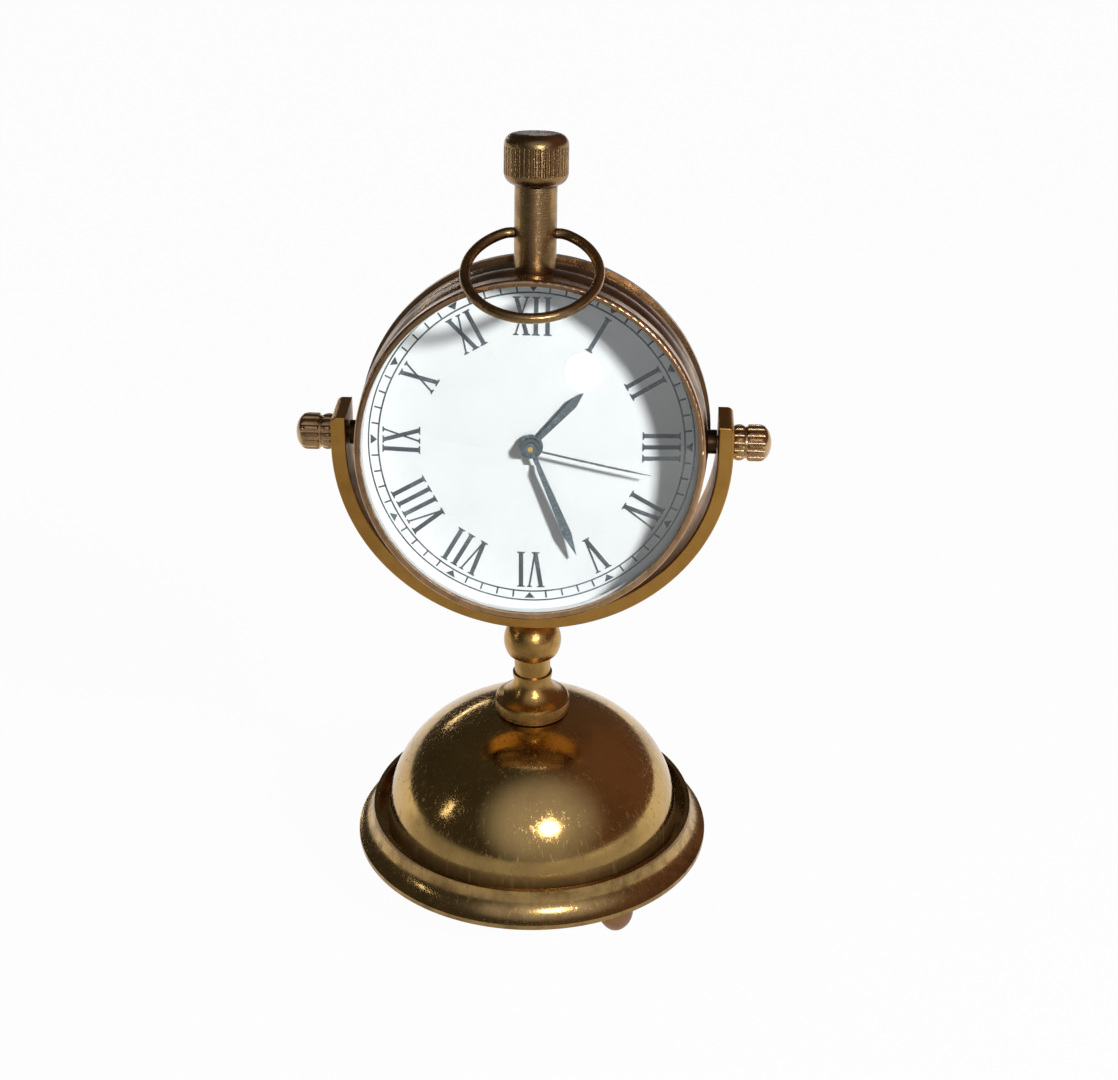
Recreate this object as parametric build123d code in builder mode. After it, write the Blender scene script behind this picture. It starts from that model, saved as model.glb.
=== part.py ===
from build123d import *

import os
from math import atan2, cos, degrees, pi, radians, sin, sqrt

# A desk clock: a round watch case on two pivot screws in a yoke, on a pillar and a bell-shaped foot.
# Millimetres, +Z up, origin on the table under the pillar, dial towards -Y.

# Fits
FIT = 0.02                  # gap round a seated piece
RUN = 0.05                  # gap round a piece that turns or slides

# Feet, base ring and base plate
FOOT_HEIGHT = 6.0           # underside of the base above the table
FOOT_DIAMETER = 5.8
FOOT_NECK = 4.0
FOOT_COUNT = 3
FOOT_INSET = 4.95           # feet inside the base's edge
FIRST_FOOT_ANGLE = -52.7    # front right
FOOT_SPIGOT = 2.2
FOOT_SPIGOT_LENGTH = 1.6
BASE_DIAMETER = 59.1
BASE_RIM = 0.8              # upright edge at the foot of the cove
BASE_HEIGHT = 5.5
COVE_WIDTH = 2.65
LIP_WIDTH = 0.8
TROUGH_WIDTH = 1.65         # between lip and dome
COVE_DEPTH = 0.75
LEDGE_HEIGHT = 2.7          # ledge for the dome, above the underside
LEDGE_WIDTH = 5.1
PLATE_OVERLAP = 1.5         # base plate under the ledge
PLATE_THICKNESS = 1.2

# Bell dome
DOME_SKIRT = 1.3            # straight skirt under the round
DOME_SHAPE = 0.818          # rise of the dome's ellipse over its radius
DOME_WALL = 1.2
DOME_SEAT = 10.0            # flat on top for the pillar

# Pillar and tie stud
PILLAR_LENGTH = 17.3        # from the dome to the yoke
FLANGE_DIAMETER = 12.3
FLANGE_HEIGHT = 2.1
FLARE_SHARE = 0.37          # end of the flare, as a share of the pillar's length
NECK_DIAMETER = 5.9
NECK_RING_RISE = 0.3
NECK_RING_HEIGHT = 0.6
BALL_DIAMETER = 9.4
BALL_CUT = 2.2              # the bevel meets the ball this far under its middle
BEVEL_HEIGHT = 0.9
SADDLE_DEPTH = 0.5          # how far the ball's top is hollowed for the yoke
STUD_DIAMETER = 4.0
STUD_REACH = 7.5            # tapped depth in the pillar
STUD_TAIL = 0.5             # stud past its nut
WASHER_DIAMETER = 9.0
WASHER_THICKNESS = 0.6
NUT_ACROSS_FLATS = 7.0
NUT_THICKNESS = 2.5

# Yoke
YOKE_GAP = 2.0              # between the case and the inside of the yoke
YOKE_THICKNESS = 2.4
YOKE_DEPTH = 8.4
YOKE_STRAIGHT = 0.9         # arms run straight this far under the pivots
YOKE_END_RISE = 4.2
YOKE_END_ROUND = 1.0
YOKE_EDGE_ROUND = 0.25
YOKE_SCREW_DIAMETER = 2.5
YOKE_SCREW_HEAD = 4.4
YOKE_SCREW_REACH = 5.0      # tapped depth in the pillar

# Pivot bushes and knobs
PIVOT_SCREW_DIAMETER = 2.0
BUSH_DIAMETER = 3.8
BUSH_SHORT_OF_YOKE = 0.15
KNOB_LENGTH = 5.9
KNOB_DIAMETER = 5.8
KNOB_COLLAR_DIAMETER = 5.7
KNOB_COLLAR_LENGTH = 1.8
KNOB_WAIST_DIAMETER = 5.0
KNOB_WAIST_LENGTH = 0.3
KNOB_SHOULDER = 0.5
KNOB_DOME_RISE = 1.9
KNOB_FLUTES = 16
FLUTE_DIAMETER = 0.9
FLUTE_DEPTH = 0.3

# Case shell
CASE_TILT = 9.0             # the case leans back this far at rest
CASE_DIAMETER = 53.6
CASE_WALL = 1.0
CASE_BACK = 6.8             # rear end of the band behind the pivots
BEAD_RISE = 0.45
REAR_RIM_RISE = 1.0
REAR_RIM_WIDTH = 1.7
BEZEL_GROOVE = 0.4
BEZEL_LIP = 1.0
BEZEL_LIP_HEIGHT = 0.8
BEZEL_ROUND = 0.5
LENS_OVERLAP = 0.4          # lens edge under the bezel's lip
LENS_THICKNESS = 1.6        # at the edge
LENS_RISE = 6.5
DIAL_DEPTH = 4.5            # dial under the lens edge
DIAL_RING_WALL = 0.5
DIAL_THICKNESS = 0.4
DIAL_HOLE_GAP = 0.2         # dial round the hour pipe
BACK_THICKNESS = 1.3
BACK_LIP_WALL = 1.2
BACK_LIP_HEIGHT = 1.0
BACK_EDGE = 0.4             # rear rim past the back cover's edge

# Pendant, bow and crown
PENDANT_DIAMETER = 6.5
PENDANT_BORE = 3.0
PENDANT_LENGTH = 12.3       # outside the case
BOW_RISE = 5.2              # bow's pins above the case
BOW_DIAMETER = 20.1         # middle of the wire
BOW_WIRE = 1.6
BOW_BEND = 3.0              # radius at the middle of the wire, where an end turns to its hole
BOW_SIDE_GAP = 0.15         # bow beside the pendant
BOW_PIN_GAP = 0.2           # bow's pins short of the pendant's bore
BOW_LEAN = 59.8             # bow forward of the case's own upright, resting on the bezel
CROWN_DIAMETER = 9.8
CROWN_HEIGHT = 7.7
CROWN_GAP = 0.2
CROWN_TOP_ROUND = 1.7
CROWN_FOOT_ROUND = 1.9
CROWN_BORE_DEPTH = 5.0
KNURL_HEIGHT = 4.3
KNURL_START = 1.6
KNURL_COUNT = 40
KNURL_DIAMETER = 0.44
STEM_DIAMETER = 1.2
STEM_IN_MOVEMENT = 4.2      # stem inside the movement's edge
COLLAR_LENGTH = 2.5
COLLAR_DROP = 1.6           # collar under the pendant's top

# Movement
HOLDER_WALL = 8.8           # between movement and case
LAYOUT_RADIUS = 17.0        # movement's radius for the sizes and places below
MOVEMENT_SEAT = 0.8         # ledge in the holder under the main plate
HOLDER_BACK = 4.0           # rear of the holder's web behind the pivots
HOLDER_SKIRT_WALL = 2.5
STEM_TO_PLATE = 0.2
MAIN_PLATE_THICKNESS = 0.95
BRIDGE_THICKNESS = 0.8
BRIDGE_GAP = 0.55           # bridge behind the last wheel
PILLAR_POST_DIAMETER = 2.0
PILLAR_POST_INSET = 2.7
PILLAR_POST_ANGLES = (62, 125, 180, 318)
BRIDGE_SCREW_DIAMETER = 1.0
BRIDGE_SCREW_HEAD = 2.2
BRIDGE_SCREW_HEAD_HEIGHT = 0.4
BRIDGE_SCREW_REACH = 1.2
GUIDE_WIDTH = 3.2
GUIDE_LENGTH = 2.4

# Wheels and hands
WHEEL_THICKNESS = 0.35
PINION_OVERLAP = 0.07       # pinion past each face of its wheel
LEVEL_PITCH = 0.6
WHEEL_GAP = 0.14
MOTION_GAP = 0.25           # motion wheels under the dial
ARBOR_DIAMETER = 0.5
PIVOT_REACH = 0.5           # arbor into plate and bridge
SECOND_ARBOR_DIAMETER = 0.76
CANNON_WALL = 0.38
HOUR_PIPE_WALL = 0.4
CENTRE_BUSH_WALL = 0.75
MINUTE_POST_DIAMETER = 0.7
TRAIN_MODULE = 0.16         # centre wheel and third pinion
STEP_MODULE = 0.23          # second wheel and intermediate pinion
ROTOR_MODULE = 0.18         # intermediate wheel and rotor pinion
MOTION_MODULE = 0.2
CENTRE_TEETH, THIRD_PINION = 60, 8
THIRD_TEETH, SECOND_PINION = 64, 8
SECOND_TEETH, STEP_PINION = 40, 8
STEP_TEETH, ROTOR_PINION = 36, 6
CANNON_TEETH, MINUTE_TEETH = 10, 30
MINUTE_PINION, HOUR_TEETH = 8, 32
ADDENDUM, DEDENDUM = 0.8, 1.1                       # in modules
TIP_SHARE, PITCH_SHARE, ROOT_SHARE = 0.16, 0.40, 0.55   # tooth width over tooth pitch
THIRD_DIRECTION = 150.0
STEP_DIRECTION = 30.0
ROTOR_DIRECTION = 0.0
MINUTE_DIRECTION = 270.0
HAND_THICKNESS = 0.3
HAND_GAP = 0.35
HOUR_HAND_SHARE, HOUR_HAND_ANGLE = 0.417, 43.0      # length over the dial's radius
MINUTE_HAND_SHARE, MINUTE_HAND_ANGLE = 0.673, 157.0
SECOND_HAND_SHARE, SECOND_HAND_ANGLE = 0.693, 102.0
HAND_WIDTH = 1.25
HAND_NECK = 0.55
HAND_SHOULDER = 0.8         # widest place, as a share of the hand's length
HUB_WALL = 0.45
SECOND_HAND_WIDTH = 0.22

# Motor, circuit and cell
MAGNET_DIAMETER = 2.8
MAGNET_THICKNESS = 0.6
STATOR_GAP = 0.35
STATOR_WIDTH = 4.6
STATOR_LENGTH = 13.0
CORE_THICKNESS = 0.4
CORE_WIDTH = 0.8
CORE_TAB = 1.7
COIL_DIAMETER = 1.8
COIL_OFFSET = 3.9           # coil beside the rotor
COIL_LENGTH = 9.0
BOARD_SIZE = (14.0, 5.0)
BOARD_PLACE = (1.5, -10.0)
BOARD_THICKNESS = 0.5
CHIP_SIZE = 2.6
CHIP_HEIGHT = 0.7
CHIP_PLACE = (5.6, -9.6)
CRYSTAL_DIAMETER = 1.8
CRYSTAL_LENGTH = 5.0
CRYSTAL_PLACE = (1.0, -11.4)
CELL_DIAMETER = 9.5
CELL_THICKNESS = 2.1
CELL_PLACE = (-8.0, -6.5)
CONTACT_WIDTH = 2.4
CONTACT_LENGTH = 9.0
CONTACT_THICKNESS = 0.3

# Stand heights, worked out from the sizes above
base_radius = BASE_DIAMETER / 2
foot_circle = base_radius - FOOT_INSET
lip_radius = base_radius - COVE_WIDTH
trough_radius = lip_radius - LIP_WIDTH
ledge_radius = trough_radius - LEDGE_WIDTH
plate_radius = ledge_radius + PLATE_OVERLAP
lip_z = FOOT_HEIGHT + BASE_HEIGHT
ledge_z = FOOT_HEIGHT + LEDGE_HEIGHT
plate_top_z = FOOT_HEIGHT + PLATE_THICKNESS
dome_radius = trough_radius - TROUGH_WIDTH
dome_rise = DOME_SHAPE * dome_radius
dome_centre_z = ledge_z + DOME_SKIRT
dome_seat_z = dome_centre_z + dome_rise * sqrt(1 - (DOME_SEAT / 2 / dome_radius) ** 2)
case_radius = CASE_DIAMETER / 2
yoke_inner = case_radius + YOKE_GAP
yoke_outer = yoke_inner + YOKE_THICKNESS
yoke_foot_z = dome_seat_z + PILLAR_LENGTH
yoke_centre_z = yoke_foot_z + yoke_outer
pivot_z = yoke_centre_z + YOKE_STRAIGHT
ball_z = yoke_foot_z - BALL_DIAMETER / 2 + SADDLE_DEPTH
washer_z = FOOT_HEIGHT - WASHER_THICKNESS
nut_z = washer_z - NUT_THICKNESS
stud_top_z = dome_seat_z + STUD_REACH - STUD_TAIL

# Places along the case's axis, from the pivots towards the dial
plate_back = STEM_DIAMETER / 2 + STEM_TO_PLATE
plate_front = plate_back + MAIN_PLATE_THICKNESS
minute_level = plate_front + WHEEL_GAP
hour_level = minute_level + WHEEL_THICKNESS + 2 * PINION_OVERLAP + RUN
dial_back = hour_level + WHEEL_THICKNESS + MOTION_GAP
dial_front = dial_back + DIAL_THICKNESS
hour_hand_level = dial_front + HAND_GAP
minute_hand_level = hour_hand_level + HAND_THICKNESS + HAND_GAP
second_hand_level = minute_hand_level + HAND_THICKNESS + HAND_GAP
lens_back = dial_front + DIAL_DEPTH
lens_front = lens_back + LENS_THICKNESS
bezel_back = lens_back - LENS_THICKNESS / 2
bezel_front = lens_front + FIT + BEZEL_LIP_HEIGHT
centre_level = plate_back - WHEEL_GAP - WHEEL_THICKNESS
third_level = centre_level - LEVEL_PITCH
second_level = third_level - LEVEL_PITCH
step_level = second_level - LEVEL_PITCH
bridge_front = step_level - BRIDGE_GAP
bridge_back = bridge_front - BRIDGE_THICKNESS
magnet_back = second_level
core_back = magnet_back - CORE_THICKNESS
coil_level = magnet_back - CORE_THICKNESS / 2

# The movement and its layout
bore_radius = case_radius - CASE_WALL
movement_radius = bore_radius - HOLDER_WALL
layout = movement_radius / LAYOUT_RADIUS

# Places along the pendant, from the case's pivots
pendant_top = case_radius + PENDANT_LENGTH
bow_height = case_radius + BOW_RISE
stem_end = movement_radius - STEM_IN_MOVEMENT

# Radii in the case
inner_radius = bore_radius - RUN
opening_radius = case_radius - BEZEL_LIP
lens_radius = opening_radius + LENS_OVERLAP
second_arbor = layout * SECOND_ARBOR_DIAMETER / 2
cannon_bore = second_arbor + RUN
cannon_radius = cannon_bore + layout * CANNON_WALL
hour_bore = cannon_radius + RUN
hour_radius = hour_bore + layout * HOUR_PIPE_WALL

# The case's own frame: X to the right, Y to twelve o'clock, Z out of the dial
lean = radians(CASE_TILT)
CASE = Plane(origin=(0, 0, pivot_z), x_dir=(1, 0, 0), z_dir=(0, -cos(lean), sin(lean)))
CASE_SECTION = Plane(origin=CASE.origin, x_dir=CASE.x_dir, z_dir=-CASE.y_dir)
CASE_AXIS = Axis(CASE.origin, CASE.z_dir)
PENDANT_AXIS = Axis(CASE.origin, CASE.y_dir)
PIVOT_SECTION = Plane(origin=CASE.origin, x_dir=(1, 0, 0), z_dir=(0, -1, 0))
PIVOT_AXIS = Axis(CASE.origin, (1, 0, 0))
YOKE_SECTION = Plane((0, 0, yoke_centre_z), x_dir=(1, 0, 0), z_dir=(0, -1, 0))


def dial_plane(level, place=(0, 0), turn=0.0):
    """A plane parallel to the dial, at a level along the case's axis and a place on the dial."""
    sideways = CASE.x_dir * cos(radians(turn)) + CASE.y_dir * sin(radians(turn))
    return Plane(CASE.from_local_coords((*place, level)), x_dir=sideways, z_dir=CASE.z_dir)


def pendant_plane(height):
    """A plane across the pendant, at a height above the pivots."""
    return Plane(CASE.from_local_coords((0, height, 0)), x_dir=CASE.x_dir, z_dir=CASE.y_dir)


def pivot_plane(reach):
    """A plane across the pivot axis, facing +X."""
    return Plane((reach, 0, pivot_z), x_dir=(0, 1, 0), z_dir=(1, 0, 0))


def off_centre(distance, direction):
    """A place on the dial, from its centre."""
    return (distance * cos(radians(direction)), distance * sin(radians(direction)))


def gear(teeth, module, first_tooth=0.0):
    """Add a gear to the open sketch, with short straight-sided teeth and running room."""
    pitch_radius = module * teeth / 2
    pitch_angle = 2 * pi / teeth
    flank = [(-DEDENDUM, ROOT_SHARE), (0, PITCH_SHARE), (ADDENDUM, TIP_SHARE)]
    rising = [(pitch_radius + rise * module, -share * pitch_angle / 2) for rise, share in flank]
    falling = [(radius, -angle) for radius, angle in reversed(rising)]
    outline = []
    for tooth in range(teeth):
        middle = radians(first_tooth) + tooth * pitch_angle
        for radius, angle in rising + falling:
            outline.append((radius * cos(middle + angle), radius * sin(middle + angle)))
    Polygon(*outline, align=None)


def meshing(driver_teeth, driven_teeth, direction):
    """First tooth of a driven gear, so that its gap faces the driver, whose first tooth is at 0."""
    turn = direction * (1 + driver_teeth / driven_teeth)
    return turn + 180 - 180 / driven_teeth


# Where the arbors stand on the dial's plane
train_module = layout * TRAIN_MODULE
step_module = layout * STEP_MODULE
rotor_module = layout * ROTOR_MODULE
motion_module = layout * MOTION_MODULE
third_distance = train_module * (CENTRE_TEETH + THIRD_PINION) / 2
third_module = 2 * third_distance / (THIRD_TEETH + SECOND_PINION)
third_place = off_centre(third_distance, THIRD_DIRECTION)
step_distance = step_module * (SECOND_TEETH + STEP_PINION) / 2
step_place = off_centre(step_distance, STEP_DIRECTION)
rotor_distance = rotor_module * (STEP_TEETH + ROTOR_PINION) / 2
rotor_offset = off_centre(rotor_distance, ROTOR_DIRECTION)
rotor_place = (step_place[0] + rotor_offset[0], step_place[1] + rotor_offset[1])
minute_distance = motion_module * (CANNON_TEETH + MINUTE_TEETH) / 2
minute_place = off_centre(minute_distance, MINUTE_DIRECTION)
hour_module = 2 * minute_distance / (MINUTE_PINION + HOUR_TEETH)
arbor_places = [third_place, step_place, rotor_place]
post_circle = movement_radius - PILLAR_POST_INSET
post_places = [off_centre(post_circle, angle) for angle in PILLAR_POST_ANGLES]
cell_place = (layout * CELL_PLACE[0], layout * CELL_PLACE[1])
board_place = (layout * BOARD_PLACE[0], layout * BOARD_PLACE[1])
chip_place = (layout * CHIP_PLACE[0], layout * CHIP_PLACE[1])
crystal_place = (layout * CRYSTAL_PLACE[0], layout * CRYSTAL_PLACE[1])
cell_radius = layout * CELL_DIAMETER / 2
magnet_radius = layout * MAGNET_DIAMETER / 2

# Base ring: a coved moulding with a trough round the dome
with BuildPart() as base_ring:
    with BuildSketch(Plane.XZ):
        with BuildLine():
            rim_top = (base_radius, FOOT_HEIGHT + BASE_RIM)
            cove_top = (lip_radius, lip_z)
            middle = ((base_radius + lip_radius) / 2 - COVE_DEPTH, (rim_top[1] + lip_z) / 2 - COVE_DEPTH)
            Polyline(
                cove_top,
                (trough_radius, lip_z),
                (trough_radius, ledge_z),
                (ledge_radius, ledge_z),
                (ledge_radius, plate_top_z),
                (plate_radius + FIT, plate_top_z),
                (plate_radius + FIT, FOOT_HEIGHT),
                (base_radius, FOOT_HEIGHT),
                rim_top,
            )
            ThreePointArc(rim_top, middle, cove_top)
        make_face()
    revolve(axis=Axis.Z)
    with BuildSketch(Plane.XY.offset(FOOT_HEIGHT)):
        with PolarLocations(foot_circle, FOOT_COUNT, start_angle=FIRST_FOOT_ANGLE):
            Circle(FOOT_SPIGOT / 2 + FIT)
    extrude(amount=FOOT_SPIGOT_LENGTH + FIT, mode=Mode.SUBTRACT)

# Base plate: closes the base from below
with BuildPart() as base_plate:
    with BuildSketch(Plane.XY.offset(FOOT_HEIGHT)):
        Circle(plate_radius)
        Circle(STUD_DIAMETER / 2 + FIT, mode=Mode.SUBTRACT)
    extrude(amount=PLATE_THICKNESS)

# Feet: turned balls with a spigot in the base ring
with BuildPart() as feet:
    for foot in range(FOOT_COUNT):
        angle = radians(FIRST_FOOT_ANGLE + foot * 360 / FOOT_COUNT)
        place = (foot_circle * cos(angle), foot_circle * sin(angle), 0)
        with BuildSketch(Plane(place, x_dir=(1, 0, 0), z_dir=(0, -1, 0))) as foot_outline:
            with BuildLine():
                sole = (FOOT_DIAMETER / 4, 0)
                neck = (FOOT_NECK / 2, FOOT_HEIGHT)
                spigot_top = FOOT_HEIGHT + FOOT_SPIGOT_LENGTH
                ThreePointArc(sole, (FOOT_DIAMETER / 2, FOOT_HEIGHT / 2), neck)
                Polyline(
                    neck,
                    (FOOT_SPIGOT / 2, FOOT_HEIGHT),
                    (FOOT_SPIGOT / 2, spigot_top),
                    (0, spigot_top),
                    (0, 0),
                    sole,
                )
            make_face()
        revolve(foot_outline.sketch, axis=Axis(place, (0, 0, 1)))

# Bell dome: a spun shell on the ledge of the base ring
with BuildPart() as bell_dome:
    with BuildSketch(Plane.XZ):
        with Locations((0, dome_centre_z)):
            Ellipse(dome_radius, dome_rise)
            Ellipse(dome_radius - DOME_WALL, dome_rise - DOME_WALL, mode=Mode.SUBTRACT)
        with Locations((0, dome_centre_z)):
            Rectangle(2 * dome_radius, dome_rise, align=(Align.CENTER, Align.MAX), mode=Mode.SUBTRACT)
        with Locations((dome_radius - DOME_WALL / 2, ledge_z + DOME_SKIRT / 2)):
            Rectangle(DOME_WALL, DOME_SKIRT)
        with Locations((0, dome_seat_z)):
            Rectangle(2 * dome_radius, dome_rise, align=(Align.CENTER, Align.MIN), mode=Mode.SUBTRACT)
        bore = STUD_DIAMETER / 2 + FIT
        with Locations((bore, dome_centre_z)):
            Rectangle(2 * dome_radius, 3 * dome_rise, align=(Align.MAX, Align.CENTER), mode=Mode.SUBTRACT)
    revolve(axis=Axis.Z)

# Pillar: a turned baluster, hollowed on top for the yoke
with BuildPart() as pillar:
    with BuildSketch(Plane.XZ):
        with BuildLine():
            flange_top = dome_seat_z + FLANGE_HEIGHT
            flare_foot = (FLANGE_DIAMETER / 2 - NECK_RING_RISE, flange_top + NECK_RING_RISE)
            flare_top = (NECK_DIAMETER / 2, dome_seat_z + FLARE_SHARE * PILLAR_LENGTH)
            flare_middle = (
                flare_top[0] + (flare_foot[0] - flare_top[0]) * 0.32,
                flare_foot[1] + (flare_top[1] - flare_foot[1]) * 0.36,
            )
            ring_radius = NECK_DIAMETER / 2 + NECK_RING_RISE
            bevel_foot = (NECK_DIAMETER / 2, ball_z - BALL_CUT - BEVEL_HEIGHT)
            ball_foot = (sqrt((BALL_DIAMETER / 2) ** 2 - BALL_CUT**2), ball_z - BALL_CUT)
            ball_top = (0, ball_z + BALL_DIAMETER / 2)
            Polyline(
                (0, dome_seat_z),
                (FLANGE_DIAMETER / 2, dome_seat_z),
                (FLANGE_DIAMETER / 2, flange_top),
                flare_foot,
            )
            ThreePointArc(flare_foot, flare_middle, flare_top)
            Polyline(
                flare_top,
                (ring_radius, flare_top[1]),
                (ring_radius, flare_top[1] + NECK_RING_HEIGHT),
                (NECK_DIAMETER / 2, flare_top[1] + NECK_RING_HEIGHT),
                bevel_foot,
                ball_foot,
            )
            ThreePointArc(ball_foot, (BALL_DIAMETER / 2, ball_z), ball_top)
            Line(ball_top, (0, dome_seat_z))
        make_face()
    revolve(axis=Axis.Z)
    with BuildSketch(YOKE_SECTION):
        Circle(yoke_outer)
    extrude(amount=BALL_DIAMETER, both=True, mode=Mode.SUBTRACT)
    with BuildSketch(Plane.XY.offset(dome_seat_z)):
        Circle(STUD_DIAMETER / 2 + FIT)
    extrude(amount=STUD_REACH, mode=Mode.SUBTRACT)
    with BuildSketch(Plane.XY.offset(yoke_foot_z - YOKE_SCREW_REACH)):
        Circle(YOKE_SCREW_DIAMETER / 2 + FIT)
    extrude(amount=BALL_DIAMETER, mode=Mode.SUBTRACT)

# Tie stud, washer and nut: hold pillar, dome, ring and plate together
with BuildPart() as tie_stud:
    with BuildSketch(Plane.XY.offset(nut_z - STUD_TAIL)):
        Circle(STUD_DIAMETER / 2)
    extrude(amount=stud_top_z - nut_z + STUD_TAIL)

with BuildPart() as stud_washer:
    with BuildSketch(Plane.XY.offset(washer_z)):
        Circle(WASHER_DIAMETER / 2)
        Circle(STUD_DIAMETER / 2 + FIT, mode=Mode.SUBTRACT)
    extrude(amount=WASHER_THICKNESS)

with BuildPart() as stud_nut:
    with BuildSketch(Plane.XY.offset(nut_z)):
        RegularPolygon(NUT_ACROSS_FLATS / 2, 6, major_radius=False)
        Circle(STUD_DIAMETER / 2 + FIT, mode=Mode.SUBTRACT)
    extrude(amount=NUT_THICKNESS)

# Yoke: a flat strap bent to a half circle, with short upright ends
screw_head_radius = YOKE_SCREW_HEAD / 2
screw_head_depth = screw_head_radius - YOKE_SCREW_DIAMETER / 2
screw_head_z = yoke_centre_z - sqrt(yoke_inner**2 - screw_head_radius**2) - FIT
with BuildPart() as yoke:
    with BuildSketch(YOKE_SECTION):
        arm_height = YOKE_STRAIGHT + YOKE_END_RISE
        Circle(yoke_outer)
        Rectangle(2 * yoke_outer, yoke_outer, align=(Align.CENTER, Align.MIN), mode=Mode.SUBTRACT)
        Rectangle(2 * yoke_outer, arm_height, align=(Align.CENTER, Align.MIN))
        Circle(yoke_inner, mode=Mode.SUBTRACT)
        Rectangle(2 * yoke_inner, arm_height, align=(Align.CENTER, Align.MIN), mode=Mode.SUBTRACT)
    extrude(amount=YOKE_DEPTH / 2, both=True)
    end_edges = yoke.edges().filter_by(Axis.Y).group_by(Axis.Z)[-1]
    fillet(end_edges.sort_by(Axis.X)[0::3], radius=YOKE_END_ROUND)
    outlines = yoke.faces().filter_by(Axis.Y).edges()
    fillet(outlines, radius=YOKE_EDGE_ROUND)
    with BuildSketch(pivot_plane(-yoke_outer)):
        Circle(PIVOT_SCREW_DIAMETER / 2 + RUN)
    extrude(amount=2 * yoke_outer, mode=Mode.SUBTRACT)
    with BuildSketch(Plane.XZ):
        with BuildLine():
            Polyline(
                (0, yoke_foot_z - YOKE_THICKNESS),
                (YOKE_SCREW_DIAMETER / 2 + FIT, yoke_foot_z - YOKE_THICKNESS),
                (YOKE_SCREW_DIAMETER / 2 + FIT, screw_head_z - screw_head_depth),
                (screw_head_radius + FIT, screw_head_z),
                (screw_head_radius + FIT, screw_head_z + YOKE_THICKNESS),
                (0, screw_head_z + YOKE_THICKNESS),
                close=True,
            )
        make_face()
    revolve(axis=Axis.Z, mode=Mode.SUBTRACT)

# Yoke screw: countersunk, from inside the yoke into the pillar
with BuildPart() as yoke_screw:
    with BuildSketch(Plane.XZ):
        with BuildLine():
            screw_end = yoke_foot_z - YOKE_SCREW_REACH + STUD_TAIL
            Polyline(
                (0, screw_end),
                (YOKE_SCREW_DIAMETER / 2, screw_end),
                (YOKE_SCREW_DIAMETER / 2, screw_head_z - screw_head_depth),
                (screw_head_radius, screw_head_z),
                (0, screw_head_z),
                close=True,
            )
        make_face()
    revolve(axis=Axis.Z)
    with BuildSketch(Plane.XY.offset(screw_head_z)):
        Rectangle(YOKE_SCREW_HEAD, YOKE_SCREW_DIAMETER / 4)
    extrude(amount=-screw_head_depth / 2, mode=Mode.SUBTRACT)

# Case band: the drum, with two beads outside and a rim behind
with BuildPart() as case_band:
    with BuildSketch(CASE_SECTION):
        with BuildLine():
            rim_front = REAR_RIM_WIDTH - CASE_BACK
            groove_back = bezel_back - 2 * BEZEL_GROOVE
            bead_length = (groove_back - rim_front) / 2
            bead_middle = rim_front + bead_length
            bead_radius = case_radius + BEAD_RISE
            Polyline(
                (case_radius, rim_front),
                (case_radius + REAR_RIM_RISE, rim_front),
                (case_radius + REAR_RIM_RISE, -CASE_BACK),
                (bore_radius, -CASE_BACK),
                (bore_radius, bezel_back),
                (case_radius - BEZEL_GROOVE, bezel_back),
                (case_radius - BEZEL_GROOVE, groove_back),
                (case_radius, groove_back),
            )
            ThreePointArc(
                (case_radius, groove_back),
                (bead_radius, groove_back - bead_length / 2),
                (case_radius, bead_middle),
            )
            ThreePointArc(
                (case_radius, bead_middle),
                (bead_radius, bead_middle - bead_length / 2),
                (case_radius, rim_front),
            )
        make_face()
    revolve(axis=CASE_AXIS)
    with BuildSketch(pendant_plane(0)):
        Circle(PENDANT_DIAMETER / 2 + FIT)
    extrude(amount=CASE_DIAMETER, mode=Mode.SUBTRACT)
    with BuildSketch(pivot_plane(-CASE_DIAMETER)):
        Circle(BUSH_DIAMETER / 2 + FIT)
    extrude(amount=2 * CASE_DIAMETER, mode=Mode.SUBTRACT)

# Bezel: a narrow ring that holds the lens on the band
with BuildPart() as bezel:
    with BuildSketch(CASE_SECTION):
        with BuildLine():
            Polyline(
                (lens_radius + FIT, bezel_back),
                (case_radius, bezel_back),
                (case_radius, bezel_front),
                (opening_radius, bezel_front),
                (opening_radius, lens_front + FIT),
                (lens_radius + FIT, lens_front + FIT),
                close=True,
            )
        bezel_face = make_face()
        outer_corner = bezel_face.vertices().group_by(Axis.Y)[-1].sort_by(Axis.X)[-1]
        fillet(outer_corner, radius=BEZEL_ROUND)
    revolve(axis=CASE_AXIS)

# Lens: a thick magnifying glass, flat behind and domed in front, with a flat seat round its edge
lens_edge = opening_radius - FIT
lens_top = lens_front + LENS_RISE
lens_sphere = (lens_edge**2 + LENS_RISE**2) / (2 * LENS_RISE)
lens_middle = lens_top - lens_sphere
lens_halfway = (lens_edge / 2, lens_middle + sqrt(lens_sphere**2 - (lens_edge / 2) ** 2))
with BuildPart() as lens:
    with BuildSketch(CASE_SECTION):
        with BuildLine():
            Polyline(
                (0, lens_top),
                (0, lens_back),
                (lens_radius, lens_back),
                (lens_radius, lens_front),
                (lens_edge, lens_front),
            )
            ThreePointArc((lens_edge, lens_front), lens_halfway, (0, lens_top))
        make_face()
    revolve(axis=CASE_AXIS)

# Dial ring: the white wall between dial and lens
with BuildPart() as dial_ring:
    with BuildSketch(dial_plane(dial_front)):
        Circle(inner_radius)
        Circle(inner_radius - DIAL_RING_WALL, mode=Mode.SUBTRACT)
    extrude(amount=DIAL_DEPTH - FIT)

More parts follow.
